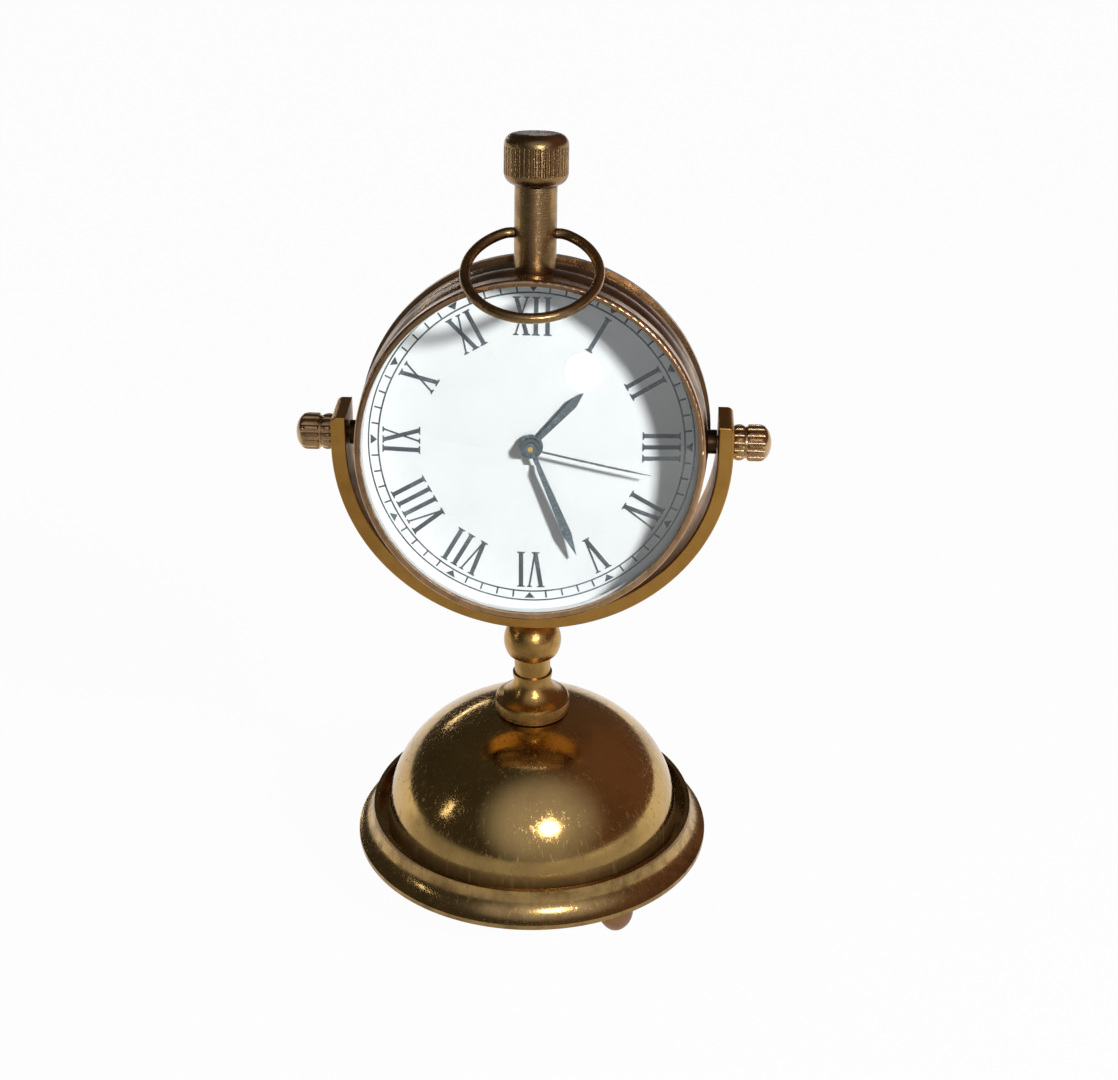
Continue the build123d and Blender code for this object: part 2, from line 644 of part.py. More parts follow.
# Dial: a thin enamelled disc on the movement holder
with BuildPart() as dial:
    with BuildSketch(dial_plane(dial_back)):
        Circle(inner_radius)
        Circle(hour_radius + DIAL_HOLE_GAP, mode=Mode.SUBTRACT)
    extrude(amount=DIAL_THICKNESS)

# Back cover: snaps into the rear of the band
with BuildPart() as back_cover:
    with BuildSketch(CASE_SECTION):
        with BuildLine():
            cover_radius = case_radius + REAR_RIM_RISE - BACK_EDGE
            cover_back = -CASE_BACK - BACK_THICKNESS
            lip_front = BACK_LIP_HEIGHT - CASE_BACK
            Polyline(
                (0, -CASE_BACK),
                (inner_radius - BACK_LIP_WALL, -CASE_BACK),
                (inner_radius - BACK_LIP_WALL, lip_front),
                (inner_radius, lip_front),
                (inner_radius, -CASE_BACK),
                (cover_radius, -CASE_BACK),
                (cover_radius - BACK_THICKNESS, cover_back),
                (0, cover_back),
                close=True,
            )
        make_face()
    revolve(axis=CASE_AXIS)

# Movement holder: a moulded ring between movement and case
holder_ledge = movement_radius - MOVEMENT_SEAT
skirt_back = BACK_LIP_HEIGHT + RUN - CASE_BACK
with BuildPart() as movement_holder:
    with BuildSketch(CASE_SECTION):
        with BuildLine():
            Polyline(
                (movement_radius + FIT, dial_back),
                (inner_radius, dial_back),
                (inner_radius, skirt_back),
                (inner_radius - HOLDER_SKIRT_WALL, skirt_back),
                (inner_radius - HOLDER_SKIRT_WALL, -HOLDER_BACK),
                (holder_ledge, -HOLDER_BACK),
                (holder_ledge, plate_back),
                (movement_radius + FIT, plate_back),
                close=True,
            )
        make_face()
    revolve(axis=CASE_AXIS)
    with BuildSketch(pendant_plane(0)):
        Circle(STEM_DIAMETER / 2 + STEM_TO_PLATE)
    extrude(amount=CASE_DIAMETER, mode=Mode.SUBTRACT)

# Main plate: carries the train behind and the motion wheels in front
with BuildPart() as main_plate:
    with BuildSketch(dial_plane(plate_back)):
        Circle(movement_radius)
        Circle(hour_bore + CENTRE_BUSH_WALL, mode=Mode.SUBTRACT)
        with Locations(*arbor_places):
            Circle(ARBOR_DIAMETER / 2 + RUN, mode=Mode.SUBTRACT)
    extrude(amount=MAIN_PLATE_THICKNESS)
    with BuildSketch(dial_plane(plate_front, minute_place)):
        Circle(MINUTE_POST_DIAMETER / 2)
    extrude(amount=dial_back - plate_front - RUN)

# Train bridge, its posts and its screws
with BuildPart() as train_bridge:
    with BuildSketch(dial_plane(bridge_back)):
        Circle(holder_ledge - MOVEMENT_SEAT / 2)
        with Locations((0, 0), *arbor_places):
            Circle(ARBOR_DIAMETER / 2 + RUN, mode=Mode.SUBTRACT)
        with Locations(*post_places):
            Circle(BRIDGE_SCREW_DIAMETER / 2 + FIT, mode=Mode.SUBTRACT)
        with Locations(cell_place):
            Circle(cell_radius + RUN, mode=Mode.SUBTRACT)
    extrude(amount=BRIDGE_THICKNESS)

with BuildPart() as bridge_posts:
    with BuildSketch(dial_plane(bridge_front)):
        with Locations(*post_places):
            Circle(PILLAR_POST_DIAMETER / 2)
    extrude(amount=plate_back - bridge_front)
    with BuildSketch(dial_plane(bridge_front)):
        with Locations(*post_places):
            Circle(BRIDGE_SCREW_DIAMETER / 2 + FIT)
    extrude(amount=BRIDGE_SCREW_REACH + RUN, mode=Mode.SUBTRACT)

with BuildPart() as bridge_screws:
    with BuildSketch(dial_plane(bridge_back)):
        with Locations(*post_places):
            Circle(BRIDGE_SCREW_DIAMETER / 2)
    extrude(amount=BRIDGE_THICKNESS + BRIDGE_SCREW_REACH)
    with BuildSketch(dial_plane(bridge_back)):
        with Locations(*post_places):
            Circle(BRIDGE_SCREW_HEAD / 2)
    extrude(amount=-BRIDGE_SCREW_HEAD_HEIGHT)
    with BuildSketch(dial_plane(bridge_back - BRIDGE_SCREW_HEAD_HEIGHT)):
        with Locations(*post_places):
            Rectangle(BRIDGE_SCREW_HEAD, BRIDGE_SCREW_DIAMETER / 3)
    extrude(amount=BRIDGE_SCREW_HEAD_HEIGHT / 2, mode=Mode.SUBTRACT)

# Centre bush in the main plate
with BuildPart() as centre_bush:
    with BuildSketch(dial_plane(plate_back)):
        Circle(hour_bore + CENTRE_BUSH_WALL - FIT)
        Circle(hour_bore, mode=Mode.SUBTRACT)
    extrude(amount=MAIN_PLATE_THICKNESS)

# Centre wheel with its cannon pipe, which carries the minute hand
with BuildPart() as centre_wheel:
    with BuildSketch(dial_plane(centre_level)):
        gear(CENTRE_TEETH, train_module)
    extrude(amount=WHEEL_THICKNESS)
    with BuildSketch(dial_plane(centre_level)):
        Circle(cannon_radius)
    extrude(amount=minute_hand_level + HAND_THICKNESS - centre_level)
    with BuildSketch(dial_plane(minute_level - PINION_OVERLAP)):
        gear(CANNON_TEETH, motion_module)
    extrude(amount=WHEEL_THICKNESS + 2 * PINION_OVERLAP)
    with BuildSketch(dial_plane(centre_level)):
        Circle(cannon_bore)
    extrude(amount=minute_hand_level + CASE_DIAMETER, mode=Mode.SUBTRACT)

# Third wheel
with BuildPart() as third_wheel:
    with BuildSketch(dial_plane(third_level, third_place)):
        gear(THIRD_TEETH, third_module)
    extrude(amount=WHEEL_THICKNESS)
    with BuildSketch(dial_plane(centre_level - PINION_OVERLAP, third_place)):
        gear(THIRD_PINION, train_module, meshing(CENTRE_TEETH, THIRD_PINION, THIRD_DIRECTION))
    extrude(amount=WHEEL_THICKNESS + 2 * PINION_OVERLAP)
    with BuildSketch(dial_plane(bridge_front - PIVOT_REACH, third_place)):
        Circle(ARBOR_DIAMETER / 2)
    extrude(amount=plate_back - bridge_front + 2 * PIVOT_REACH)

# Second wheel, whose arbor runs through the cannon pipe to the second hand
with BuildPart() as second_wheel:
    with BuildSketch(dial_plane(second_level)):
        gear(SECOND_TEETH, step_module)
    extrude(amount=WHEEL_THICKNESS)
    with BuildSketch(dial_plane(third_level - PINION_OVERLAP)):
        gear(SECOND_PINION, third_module, meshing(THIRD_TEETH, SECOND_PINION, THIRD_DIRECTION + 180))
    extrude(amount=WHEEL_THICKNESS + 2 * PINION_OVERLAP)
    with BuildSketch(dial_plane(second_level)):
        Circle(second_arbor)
    extrude(amount=second_hand_level + HAND_THICKNESS - second_level)
    with BuildSketch(dial_plane(bridge_front - PIVOT_REACH)):
        Circle(ARBOR_DIAMETER / 2)
    extrude(amount=second_level - bridge_front + PIVOT_REACH)

# Intermediate wheel between second wheel and rotor
with BuildPart() as intermediate_wheel:
    with BuildSketch(dial_plane(step_level, step_place)):
        gear(STEP_TEETH, rotor_module)
    extrude(amount=WHEEL_THICKNESS)
    with BuildSketch(dial_plane(second_level - PINION_OVERLAP, step_place)):
        gear(STEP_PINION, step_module, meshing(SECOND_TEETH, STEP_PINION, STEP_DIRECTION))
    extrude(amount=WHEEL_THICKNESS + 2 * PINION_OVERLAP)
    with BuildSketch(dial_plane(bridge_front - PIVOT_REACH, step_place)):
        Circle(ARBOR_DIAMETER / 2)
    extrude(amount=plate_back - bridge_front + 2 * PIVOT_REACH)

# Rotor: a disc magnet with its pinion
with BuildPart() as rotor:
    with BuildSketch(dial_plane(step_level - PINION_OVERLAP, rotor_place)):
        gear(ROTOR_PINION, rotor_module, meshing(STEP_TEETH, ROTOR_PINION, ROTOR_DIRECTION))
    extrude(amount=WHEEL_THICKNESS + 2 * PINION_OVERLAP)
    with BuildSketch(dial_plane(magnet_back, rotor_place)):
        Circle(magnet_radius)
    extrude(amount=MAGNET_THICKNESS)
    with BuildSketch(dial_plane(bridge_front - PIVOT_REACH, rotor_place)):
        Circle(ARBOR_DIAMETER / 2)
    extrude(amount=plate_back - bridge_front + 2 * PIVOT_REACH)

# Minute wheel on its post, and hour wheel on the cannon pipe
with BuildPart() as minute_wheel:
    with BuildSketch(dial_plane(minute_level, minute_place)):
        gear(MINUTE_TEETH, motion_module, meshing(CANNON_TEETH, MINUTE_TEETH, MINUTE_DIRECTION))
    extrude(amount=WHEEL_THICKNESS)
    with BuildSketch(dial_plane(minute_level, minute_place)):
        gear(MINUTE_PINION, hour_module)
    extrude(amount=hour_level + WHEEL_THICKNESS + PINION_OVERLAP - minute_level)
    with BuildSketch(dial_plane(minute_level, minute_place)):
        Circle(MINUTE_POST_DIAMETER / 2 + RUN)
    extrude(amount=CASE_DIAMETER, mode=Mode.SUBTRACT)

with BuildPart() as hour_wheel:
    with BuildSketch(dial_plane(hour_level)):
        gear(HOUR_TEETH, hour_module, meshing(MINUTE_PINION, HOUR_TEETH, MINUTE_DIRECTION + 180))
    extrude(amount=WHEEL_THICKNESS)
    with BuildSketch(dial_plane(hour_level)):
        Circle(hour_radius)
    extrude(amount=hour_hand_level + HAND_THICKNESS - hour_level)
    with BuildSketch(dial_plane(hour_level)):
        Circle(hour_bore)
    extrude(amount=CASE_DIAMETER, mode=Mode.SUBTRACT)


def hand_blade(length, width, neck):
    """Add a hand to the open sketch: narrow at the hub, widest near its end, then a point."""
    shoulder = length * HAND_SHOULDER
    right_edge = [(neck / 2, 0), (width / 2, shoulder)]
    left_edge = [(-width / 2, shoulder), (-neck / 2, 0)]
    Polygon(*right_edge, (0, length), *left_edge, align=None)


# Hands
with BuildPart() as hour_hand:
    with BuildSketch(dial_plane(hour_hand_level, turn=-HOUR_HAND_ANGLE)):
        hand_blade(HOUR_HAND_SHARE * inner_radius, HAND_WIDTH, HAND_NECK)
        Circle(hour_radius + HUB_WALL)
        Circle(hour_radius + FIT, mode=Mode.SUBTRACT)
    extrude(amount=HAND_THICKNESS)

with BuildPart() as minute_hand:
    with BuildSketch(dial_plane(minute_hand_level, turn=-MINUTE_HAND_ANGLE)):
        hand_blade(MINUTE_HAND_SHARE * inner_radius, HAND_WIDTH, HAND_NECK)
        Circle(cannon_radius + HUB_WALL)
        Circle(cannon_radius + FIT, mode=Mode.SUBTRACT)
    extrude(amount=HAND_THICKNESS)

with BuildPart() as second_hand:
    with BuildSketch(dial_plane(second_hand_level, turn=-SECOND_HAND_ANGLE)):
        hand_blade(SECOND_HAND_SHARE * inner_radius, SECOND_HAND_WIDTH, SECOND_HAND_WIDTH)
        Circle(second_arbor + HUB_WALL)
        Circle(second_arbor + FIT, mode=Mode.SUBTRACT)
    extrude(amount=HAND_THICKNESS)

# Stepping motor: stator, core and coil
stator_length = layout * STATOR_LENGTH
stator_low = rotor_place[1] - stator_length / 2
stator_high = rotor_place[1] + stator_length / 2
coil_offset = layout * COIL_OFFSET
coil_u = rotor_place[0] + coil_offset
coil_length = layout * COIL_LENGTH
core_tab = layout * CORE_TAB
with BuildPart() as stator:
    with BuildSketch(dial_plane(magnet_back, rotor_place)):
        Rectangle(layout * STATOR_WIDTH, stator_length)
        Circle(magnet_radius + layout * STATOR_GAP, mode=Mode.SUBTRACT)
    extrude(amount=MAGNET_THICKNESS)

with BuildPart() as coil_core:
    with BuildSketch(dial_plane(core_back)):
        tab_length = coil_offset + CORE_WIDTH / 2
        for tab_middle in (stator_low + core_tab / 2, stator_high - core_tab / 2):
            with Locations((rotor_place[0] + tab_length / 2, tab_middle)):
                Rectangle(tab_length, core_tab)
        with Locations((coil_u, rotor_place[1])):
            Rectangle(CORE_WIDTH, stator_length)
    extrude(amount=CORE_THICKNESS)

with BuildPart() as coil:
    coil_foot = CASE.from_local_coords((coil_u, rotor_place[1] - coil_length / 2, coil_level))
    with BuildSketch(Plane(coil_foot, x_dir=CASE.x_dir, z_dir=CASE.y_dir)):
        Circle(COIL_DIAMETER / 2)
        Rectangle(CORE_WIDTH + FIT, CORE_THICKNESS + FIT, mode=Mode.SUBTRACT)
    extrude(amount=coil_length)

# Circuit board with its driver chip and crystal, under the main plate
board_back = plate_back - BOARD_THICKNESS
with BuildPart() as circuit_board:
    with BuildSketch(dial_plane(board_back, board_place)):
        Rectangle(layout * BOARD_SIZE[0], layout * BOARD_SIZE[1])
    extrude(amount=BOARD_THICKNESS)

with BuildPart() as driver_chip:
    with BuildSketch(dial_plane(board_back - CHIP_HEIGHT, chip_place)):
        Rectangle(layout * CHIP_SIZE, layout * CHIP_SIZE)
    extrude(amount=CHIP_HEIGHT)

with BuildPart() as quartz_crystal:
    crystal_level = board_back - CRYSTAL_DIAMETER / 2
    crystal_end = (crystal_place[0] - layout * CRYSTAL_LENGTH / 2, crystal_place[1], crystal_level)
    with BuildSketch(Plane(CASE.from_local_coords(crystal_end), x_dir=CASE.y_dir, z_dir=CASE.x_dir)):
        Circle(CRYSTAL_DIAMETER / 2)
    extrude(amount=layout * CRYSTAL_LENGTH)

# Button cell in the bridge, and the strip that holds and connects it
with BuildPart() as button_cell:
    with BuildSketch(dial_plane(bridge_back, cell_place)):
        Circle(cell_radius)
    extrude(amount=CELL_THICKNESS)

with BuildPart() as cell_contact:
    cell_direction = degrees(atan2(cell_place[1], cell_place[0]))
    cell_distance = sqrt(cell_place[0] ** 2 + cell_place[1] ** 2)
    contact_length = layout * CONTACT_LENGTH
    contact_place = off_centre(cell_distance - contact_length / 3, cell_direction)
    with BuildSketch(dial_plane(bridge_back, contact_place, cell_direction)):
        SlotOverall(contact_length, layout * CONTACT_WIDTH)
    extrude(amount=-CONTACT_THICKNESS)

# Stem guide under the main plate
with BuildPart() as stem_guide:
    guide_end = CASE.from_local_coords((0, stem_end + STEM_DIAMETER / 2, 0))
    guide_drop = STEM_DIAMETER / 2 + STEM_TO_PLATE
    with BuildSketch(Plane(guide_end, x_dir=CASE.x_dir, z_dir=CASE.y_dir)):
        with Locations((0, -plate_back)):
            Rectangle(GUIDE_WIDTH, plate_back + 2 * guide_drop, align=(Align.CENTER, Align.MIN))
        Circle(STEM_DIAMETER / 2 + RUN, mode=Mode.SUBTRACT)
    extrude(amount=GUIDE_LENGTH)

# Pendant tube, let into the band at twelve o'clock
with BuildPart() as pendant_tube:
    with BuildSketch(pendant_plane(bore_radius)):
        Circle(PENDANT_DIAMETER / 2)
        Circle(PENDANT_BORE / 2, mode=Mode.SUBTRACT)
    extrude(amount=pendant_top - bore_radius)
    cross_hole = CASE.from_local_coords((-PENDANT_DIAMETER, bow_height, 0))
    with BuildSketch(Plane(cross_hole, x_dir=CASE.y_dir, z_dir=CASE.x_dir)):
        Circle(BOW_WIRE / 2 + RUN)
    extrude(amount=2 * PENDANT_DIAMETER, mode=Mode.SUBTRACT)

# Pivot bushes: tapped bosses at three and nine o'clock
with BuildPart() as pivot_bushes:
    bush_length = yoke_inner - BUSH_SHORT_OF_YOKE - bore_radius
    for side in (-1, 1):
        with BuildSketch(pivot_plane(side * bore_radius)):
            Circle(BUSH_DIAMETER / 2)
            Circle(PIVOT_SCREW_DIAMETER / 2 + RUN, mode=Mode.SUBTRACT)
        extrude(amount=side * bush_length)


# Knobs: each is one piece with its pivot screw
knob_foot = yoke_outer + RUN
knob_waist = knob_foot + KNOB_COLLAR_LENGTH
knob_bead = knob_waist + KNOB_WAIST_LENGTH
knob_tip = knob_foot + KNOB_LENGTH
belly_radius = KNOB_DIAMETER / 2
belly_start = knob_bead + KNOB_SHOULDER
belly_end = knob_tip - KNOB_DOME_RISE
OVAL = 0.552                # pull of the curve's handles that gives a quarter of an oval
knobs = []
for side in (-1, 1):
    with BuildPart() as knob:
        with BuildSketch(PIVOT_SECTION):
            with BuildLine():
                collar_radius = KNOB_COLLAR_DIAMETER / 2
                waist_radius = KNOB_WAIST_DIAMETER / 2
                screw_radius = PIVOT_SCREW_DIAMETER / 2
                collar_foot = (side * knob_foot, collar_radius - FLUTE_DEPTH)
                collar_swell = (side * (knob_foot + knob_waist) / 2, collar_radius)
                collar_end = (side * knob_waist, waist_radius)
                bead_foot = (side * knob_bead, waist_radius)
                bead_swell = (side * (knob_bead + KNOB_SHOULDER / 4), (waist_radius + 2 * belly_radius) / 3)
                belly = (side * belly_start, belly_radius)
                Polyline(
                    (side * bore_radius, 0),
                    (side * bore_radius, screw_radius),
                    (side * knob_foot, screw_radius),
                    collar_foot,
                )
                ThreePointArc(collar_foot, collar_swell, collar_end)
                Line(collar_end, bead_foot)
                ThreePointArc(bead_foot, bead_swell, belly)
                Line(belly, (side * belly_end, belly_radius))
                Bezier(
                    (side * belly_end, belly_radius),
                    (side * (belly_end + OVAL * KNOB_DOME_RISE), belly_radius),
                    (side * knob_tip, OVAL * belly_radius),
                    (side * knob_tip, 0),
                )
                Line((side * knob_tip, 0), (side * bore_radius, 0))
            make_face()
        revolve(axis=PIVOT_AXIS)
        with BuildSketch(pivot_plane(side * knob_foot)):
            with PolarLocations(belly_radius + FLUTE_DIAMETER / 2 - FLUTE_DEPTH, KNOB_FLUTES):
                Circle(FLUTE_DIAMETER / 2)
        extrude(amount=side * KNOB_LENGTH, mode=Mode.SUBTRACT)
    knobs.append(knob)
left_knob, right_knob = knobs

# Bow: one wire, bent to a ring, whose straight ends turn in the pendant
bow_radius = BOW_DIAMETER / 2
mouth = PENDANT_DIAMETER / 2 + BOW_WIRE / 2 + BOW_SIDE_GAP
bow_drop = sqrt(bow_radius**2 - mouth**2)
bow_lean = radians(BOW_LEAN)
bow_hang = CASE.z_dir * sin(bow_lean) - CASE.y_dir * cos(bow_lean)
bow_normal = CASE.x_dir.cross(bow_hang)
bow_pivot = CASE.from_local_coords((0, bow_height, 0))
bow_centre = bow_pivot + bow_hang * bow_drop
pin_start = PENDANT_BORE / 2 + BOW_PIN_GAP
bend_start = sqrt((bow_radius - BOW_BEND) ** 2 - (bow_drop - BOW_BEND) ** 2)
bend_angle = atan2(bend_start, bow_drop - BOW_BEND)
with BuildPart() as bow:
    ring_start = bow_centre + (CASE.x_dir * sin(bend_angle) - bow_hang * cos(bend_angle)) * bow_radius
    ring_way = CASE.x_dir * cos(bend_angle) + bow_hang * sin(bend_angle)
    with BuildSketch(Plane(ring_start, x_dir=bow_normal, z_dir=ring_way)):
        Circle(BOW_WIRE / 2)
    revolve(axis=Axis(bow_centre, bow_normal), revolution_arc=360 - 2 * degrees(bend_angle))
    for side in (-1, 1):
        bend_foot = bow_pivot + CASE.x_dir * (side * bend_start)
        with BuildSketch(Plane(bend_foot, x_dir=bow_normal, z_dir=CASE.x_dir * side)):
            Circle(BOW_WIRE / 2)
        bend_axis = Axis(bend_foot + bow_hang * BOW_BEND, bow_normal * side)
        revolve(axis=bend_axis, revolution_arc=degrees(bend_angle))
        with BuildSketch(Plane(bend_foot, x_dir=bow_normal, z_dir=CASE.x_dir * side)):
            Circle(BOW_WIRE / 2)
        extrude(amount=pin_start - bend_start)

# Crown, with a knurled waist between rounded ends
crown_radius = CROWN_DIAMETER / 2
crown_foot = pendant_top + CROWN_GAP
crown_top = crown_foot + CROWN_HEIGHT
with BuildPart() as crown:
    with BuildSketch(CASE) as crown_outline:
        with BuildLine():
            Polyline(
                (0, crown_foot),
                (crown_radius, crown_foot),
                (crown_radius, crown_top),
                (0, crown_top),
                close=True,
            )
        make_face()
        foot_corner = crown_outline.vertices().sort_by_distance((crown_radius, crown_foot))[0]
        fillet(foot_corner, radius=CROWN_FOOT_ROUND)
        top_corner = crown_outline.vertices().sort_by_distance((crown_radius, crown_top))[0]
        fillet(top_corner, radius=CROWN_TOP_ROUND)
    revolve(axis=PENDANT_AXIS)
    with BuildSketch(pendant_plane(crown_foot + KNURL_START)):
        with PolarLocations(crown_radius, KNURL_COUNT):
            Circle(KNURL_DIAMETER / 2)
    extrude(amount=KNURL_HEIGHT, mode=Mode.SUBTRACT)
    with BuildSketch(pendant_plane(crown_foot)):
        Circle(STEM_DIAMETER / 2 + FIT)
    extrude(amount=CROWN_BORE_DEPTH, mode=Mode.SUBTRACT)

# Setting stem, fixed in the crown, and the collar that slides with it in the pendant
with BuildPart() as setting_stem:
    with BuildSketch(pendant_plane(stem_end)):
        Circle(STEM_DIAMETER / 2)
    extrude(amount=crown_foot + CROWN_BORE_DEPTH - FIT - stem_end)

with BuildPart() as stem_collar:
    with BuildSketch(pendant_plane(pendant_top - COLLAR_DROP - COLLAR_LENGTH)):
        Circle(PENDANT_BORE / 2 - RUN)
        Circle(STEM_DIAMETER / 2 + RUN, mode=Mode.SUBTRACT)
    extrude(amount=COLLAR_LENGTH)

# One file per piece
pieces = {
    "base_ring": base_ring,
    "base_plate": base_plate,
    "feet": feet,
    "bell_dome": bell_dome,
    "pillar": pillar,
    "tie_stud": tie_stud,
    "stud_washer": stud_washer,
    "stud_nut": stud_nut,
    "yoke": yoke,
    "yoke_screw": yoke_screw,
    "case_band": case_band,
    "bezel": bezel,
    "lens": lens,
    "dial_ring": dial_ring,
    "dial": dial,
    "back_cover": back_cover,
    "movement_holder": movement_holder,
    "main_plate": main_plate,
    "train_bridge": train_bridge,
    "bridge_posts": bridge_posts,
    "bridge_screws": bridge_screws,
    "centre_bush": centre_bush,
    "centre_wheel": centre_wheel,
    "third_wheel": third_wheel,
    "second_wheel": second_wheel,
    "intermediate_wheel": intermediate_wheel,
    "rotor": rotor,
    "minute_wheel": minute_wheel,
    "hour_wheel": hour_wheel,
    "hour_hand": hour_hand,
    "minute_hand": minute_hand,
    "second_hand": second_hand,
    "stator": stator,
    "coil_core": coil_core,
    "coil": coil,
    "circuit_board": circuit_board,
    "driver_chip": driver_chip,
    "quartz_crystal": quartz_crystal,
    "button_cell": button_cell,
    "cell_contact": cell_contact,
    "stem_guide": stem_guide,
    "pendant_tube": pendant_tube,
    "pivot_bushes": pivot_bushes,
    "left_knob": left_knob,
    "right_knob": right_knob,
    "bow": bow,
    "crown": crown,
    "setting_stem": setting_stem,
    "stem_collar": stem_collar,
}
os.makedirs("parts", exist_ok=True)
for node, piece in pieces.items():
    piece.part.label = node
    export_step(piece.part, f"parts/{node}.step")
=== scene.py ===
# %% [markdown]
# A brass desk clock in Blender. The packed CAD model comes in as a fixed frame, in metres, and this
# lesson adds what the CAD model can't hold: the finish of every surface, the printing on the dial,
# the light and the camera. Each step says what the real piece is and why it is made this way.

import math

import bpy
from mathutils import Euler, Matrix, Vector


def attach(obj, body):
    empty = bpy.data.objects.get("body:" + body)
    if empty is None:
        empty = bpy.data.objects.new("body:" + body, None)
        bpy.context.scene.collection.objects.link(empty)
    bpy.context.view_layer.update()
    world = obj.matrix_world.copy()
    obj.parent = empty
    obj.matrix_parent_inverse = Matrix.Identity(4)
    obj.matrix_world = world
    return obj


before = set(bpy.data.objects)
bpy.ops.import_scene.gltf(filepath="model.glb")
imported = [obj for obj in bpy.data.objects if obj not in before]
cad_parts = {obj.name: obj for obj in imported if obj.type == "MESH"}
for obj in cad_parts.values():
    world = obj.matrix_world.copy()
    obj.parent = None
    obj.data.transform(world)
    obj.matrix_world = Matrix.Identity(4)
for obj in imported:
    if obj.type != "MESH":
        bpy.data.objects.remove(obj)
bpy.context.view_layer.update()

# %% [markdown]
# The finishes come first. A colour is read off as a hex value, which is sRGB, but Blender's shaders
# work in linear light, so one function turns the one into the other. A second function adds a node,
# sets it up and links it, which keeps each finish below down to one line for each idea.

# %% Colour and node helpers
MM = 0.001


def linear(hex_colour):
    """An sRGB hex colour as the linear RGBA that shaders take."""
    parts = [int(hex_colour[i:i + 2], 16) / 255 for i in (1, 3, 5)]
    return tuple(c / 12.92 if c <= 0.04045 else ((c + 0.055) / 1.055) ** 2.4 for c in parts) + (1.0,)


def add(tree, kind, inputs=None, **settings):
    """Add a node to a tree, set its options, then fill or link its inputs."""
    made = tree.nodes.new(kind)
    for name, value in settings.items():
        setattr(made, name, value)
    for socket, value in (inputs or {}).items():
        if isinstance(value, bpy.types.NodeSocket):
            tree.links.new(value, made.inputs[socket])
        else:
            made.inputs[socket].default_value = value
    return made


def per_mm(size):
    """The texture scale at which one feature is this many millimetres wide."""
    return 1 / (size * MM)


def fresh(name):
    """An empty material with its tree, its output and Object coordinates."""
    material = bpy.data.materials.new(name)
    material.use_nodes = True
    tree = material.node_tree
    tree.nodes.clear()
    output = add(tree, "ShaderNodeOutputMaterial")
    place = add(tree, "ShaderNodeTexCoord").outputs["Object"]
    return material, tree, output, place


print("one millimetre feature has scale", per_mm(1.0))

# %% [markdown]
# Nearly every visible piece is brass, which is copper with about a third of zinc. Clean brass is a
# warm yellow. Air and fingers turn it olive to brown, mostly in hollows, and handling rubs it bright
# again. One function makes such brass from a clean colour, a tarnished colour and how it was worked:
# turned and polished pieces carry fine rings or lines, and all of them carry hairline scratches.

# %% Brass
X, Y, Z = 0, 1, 2


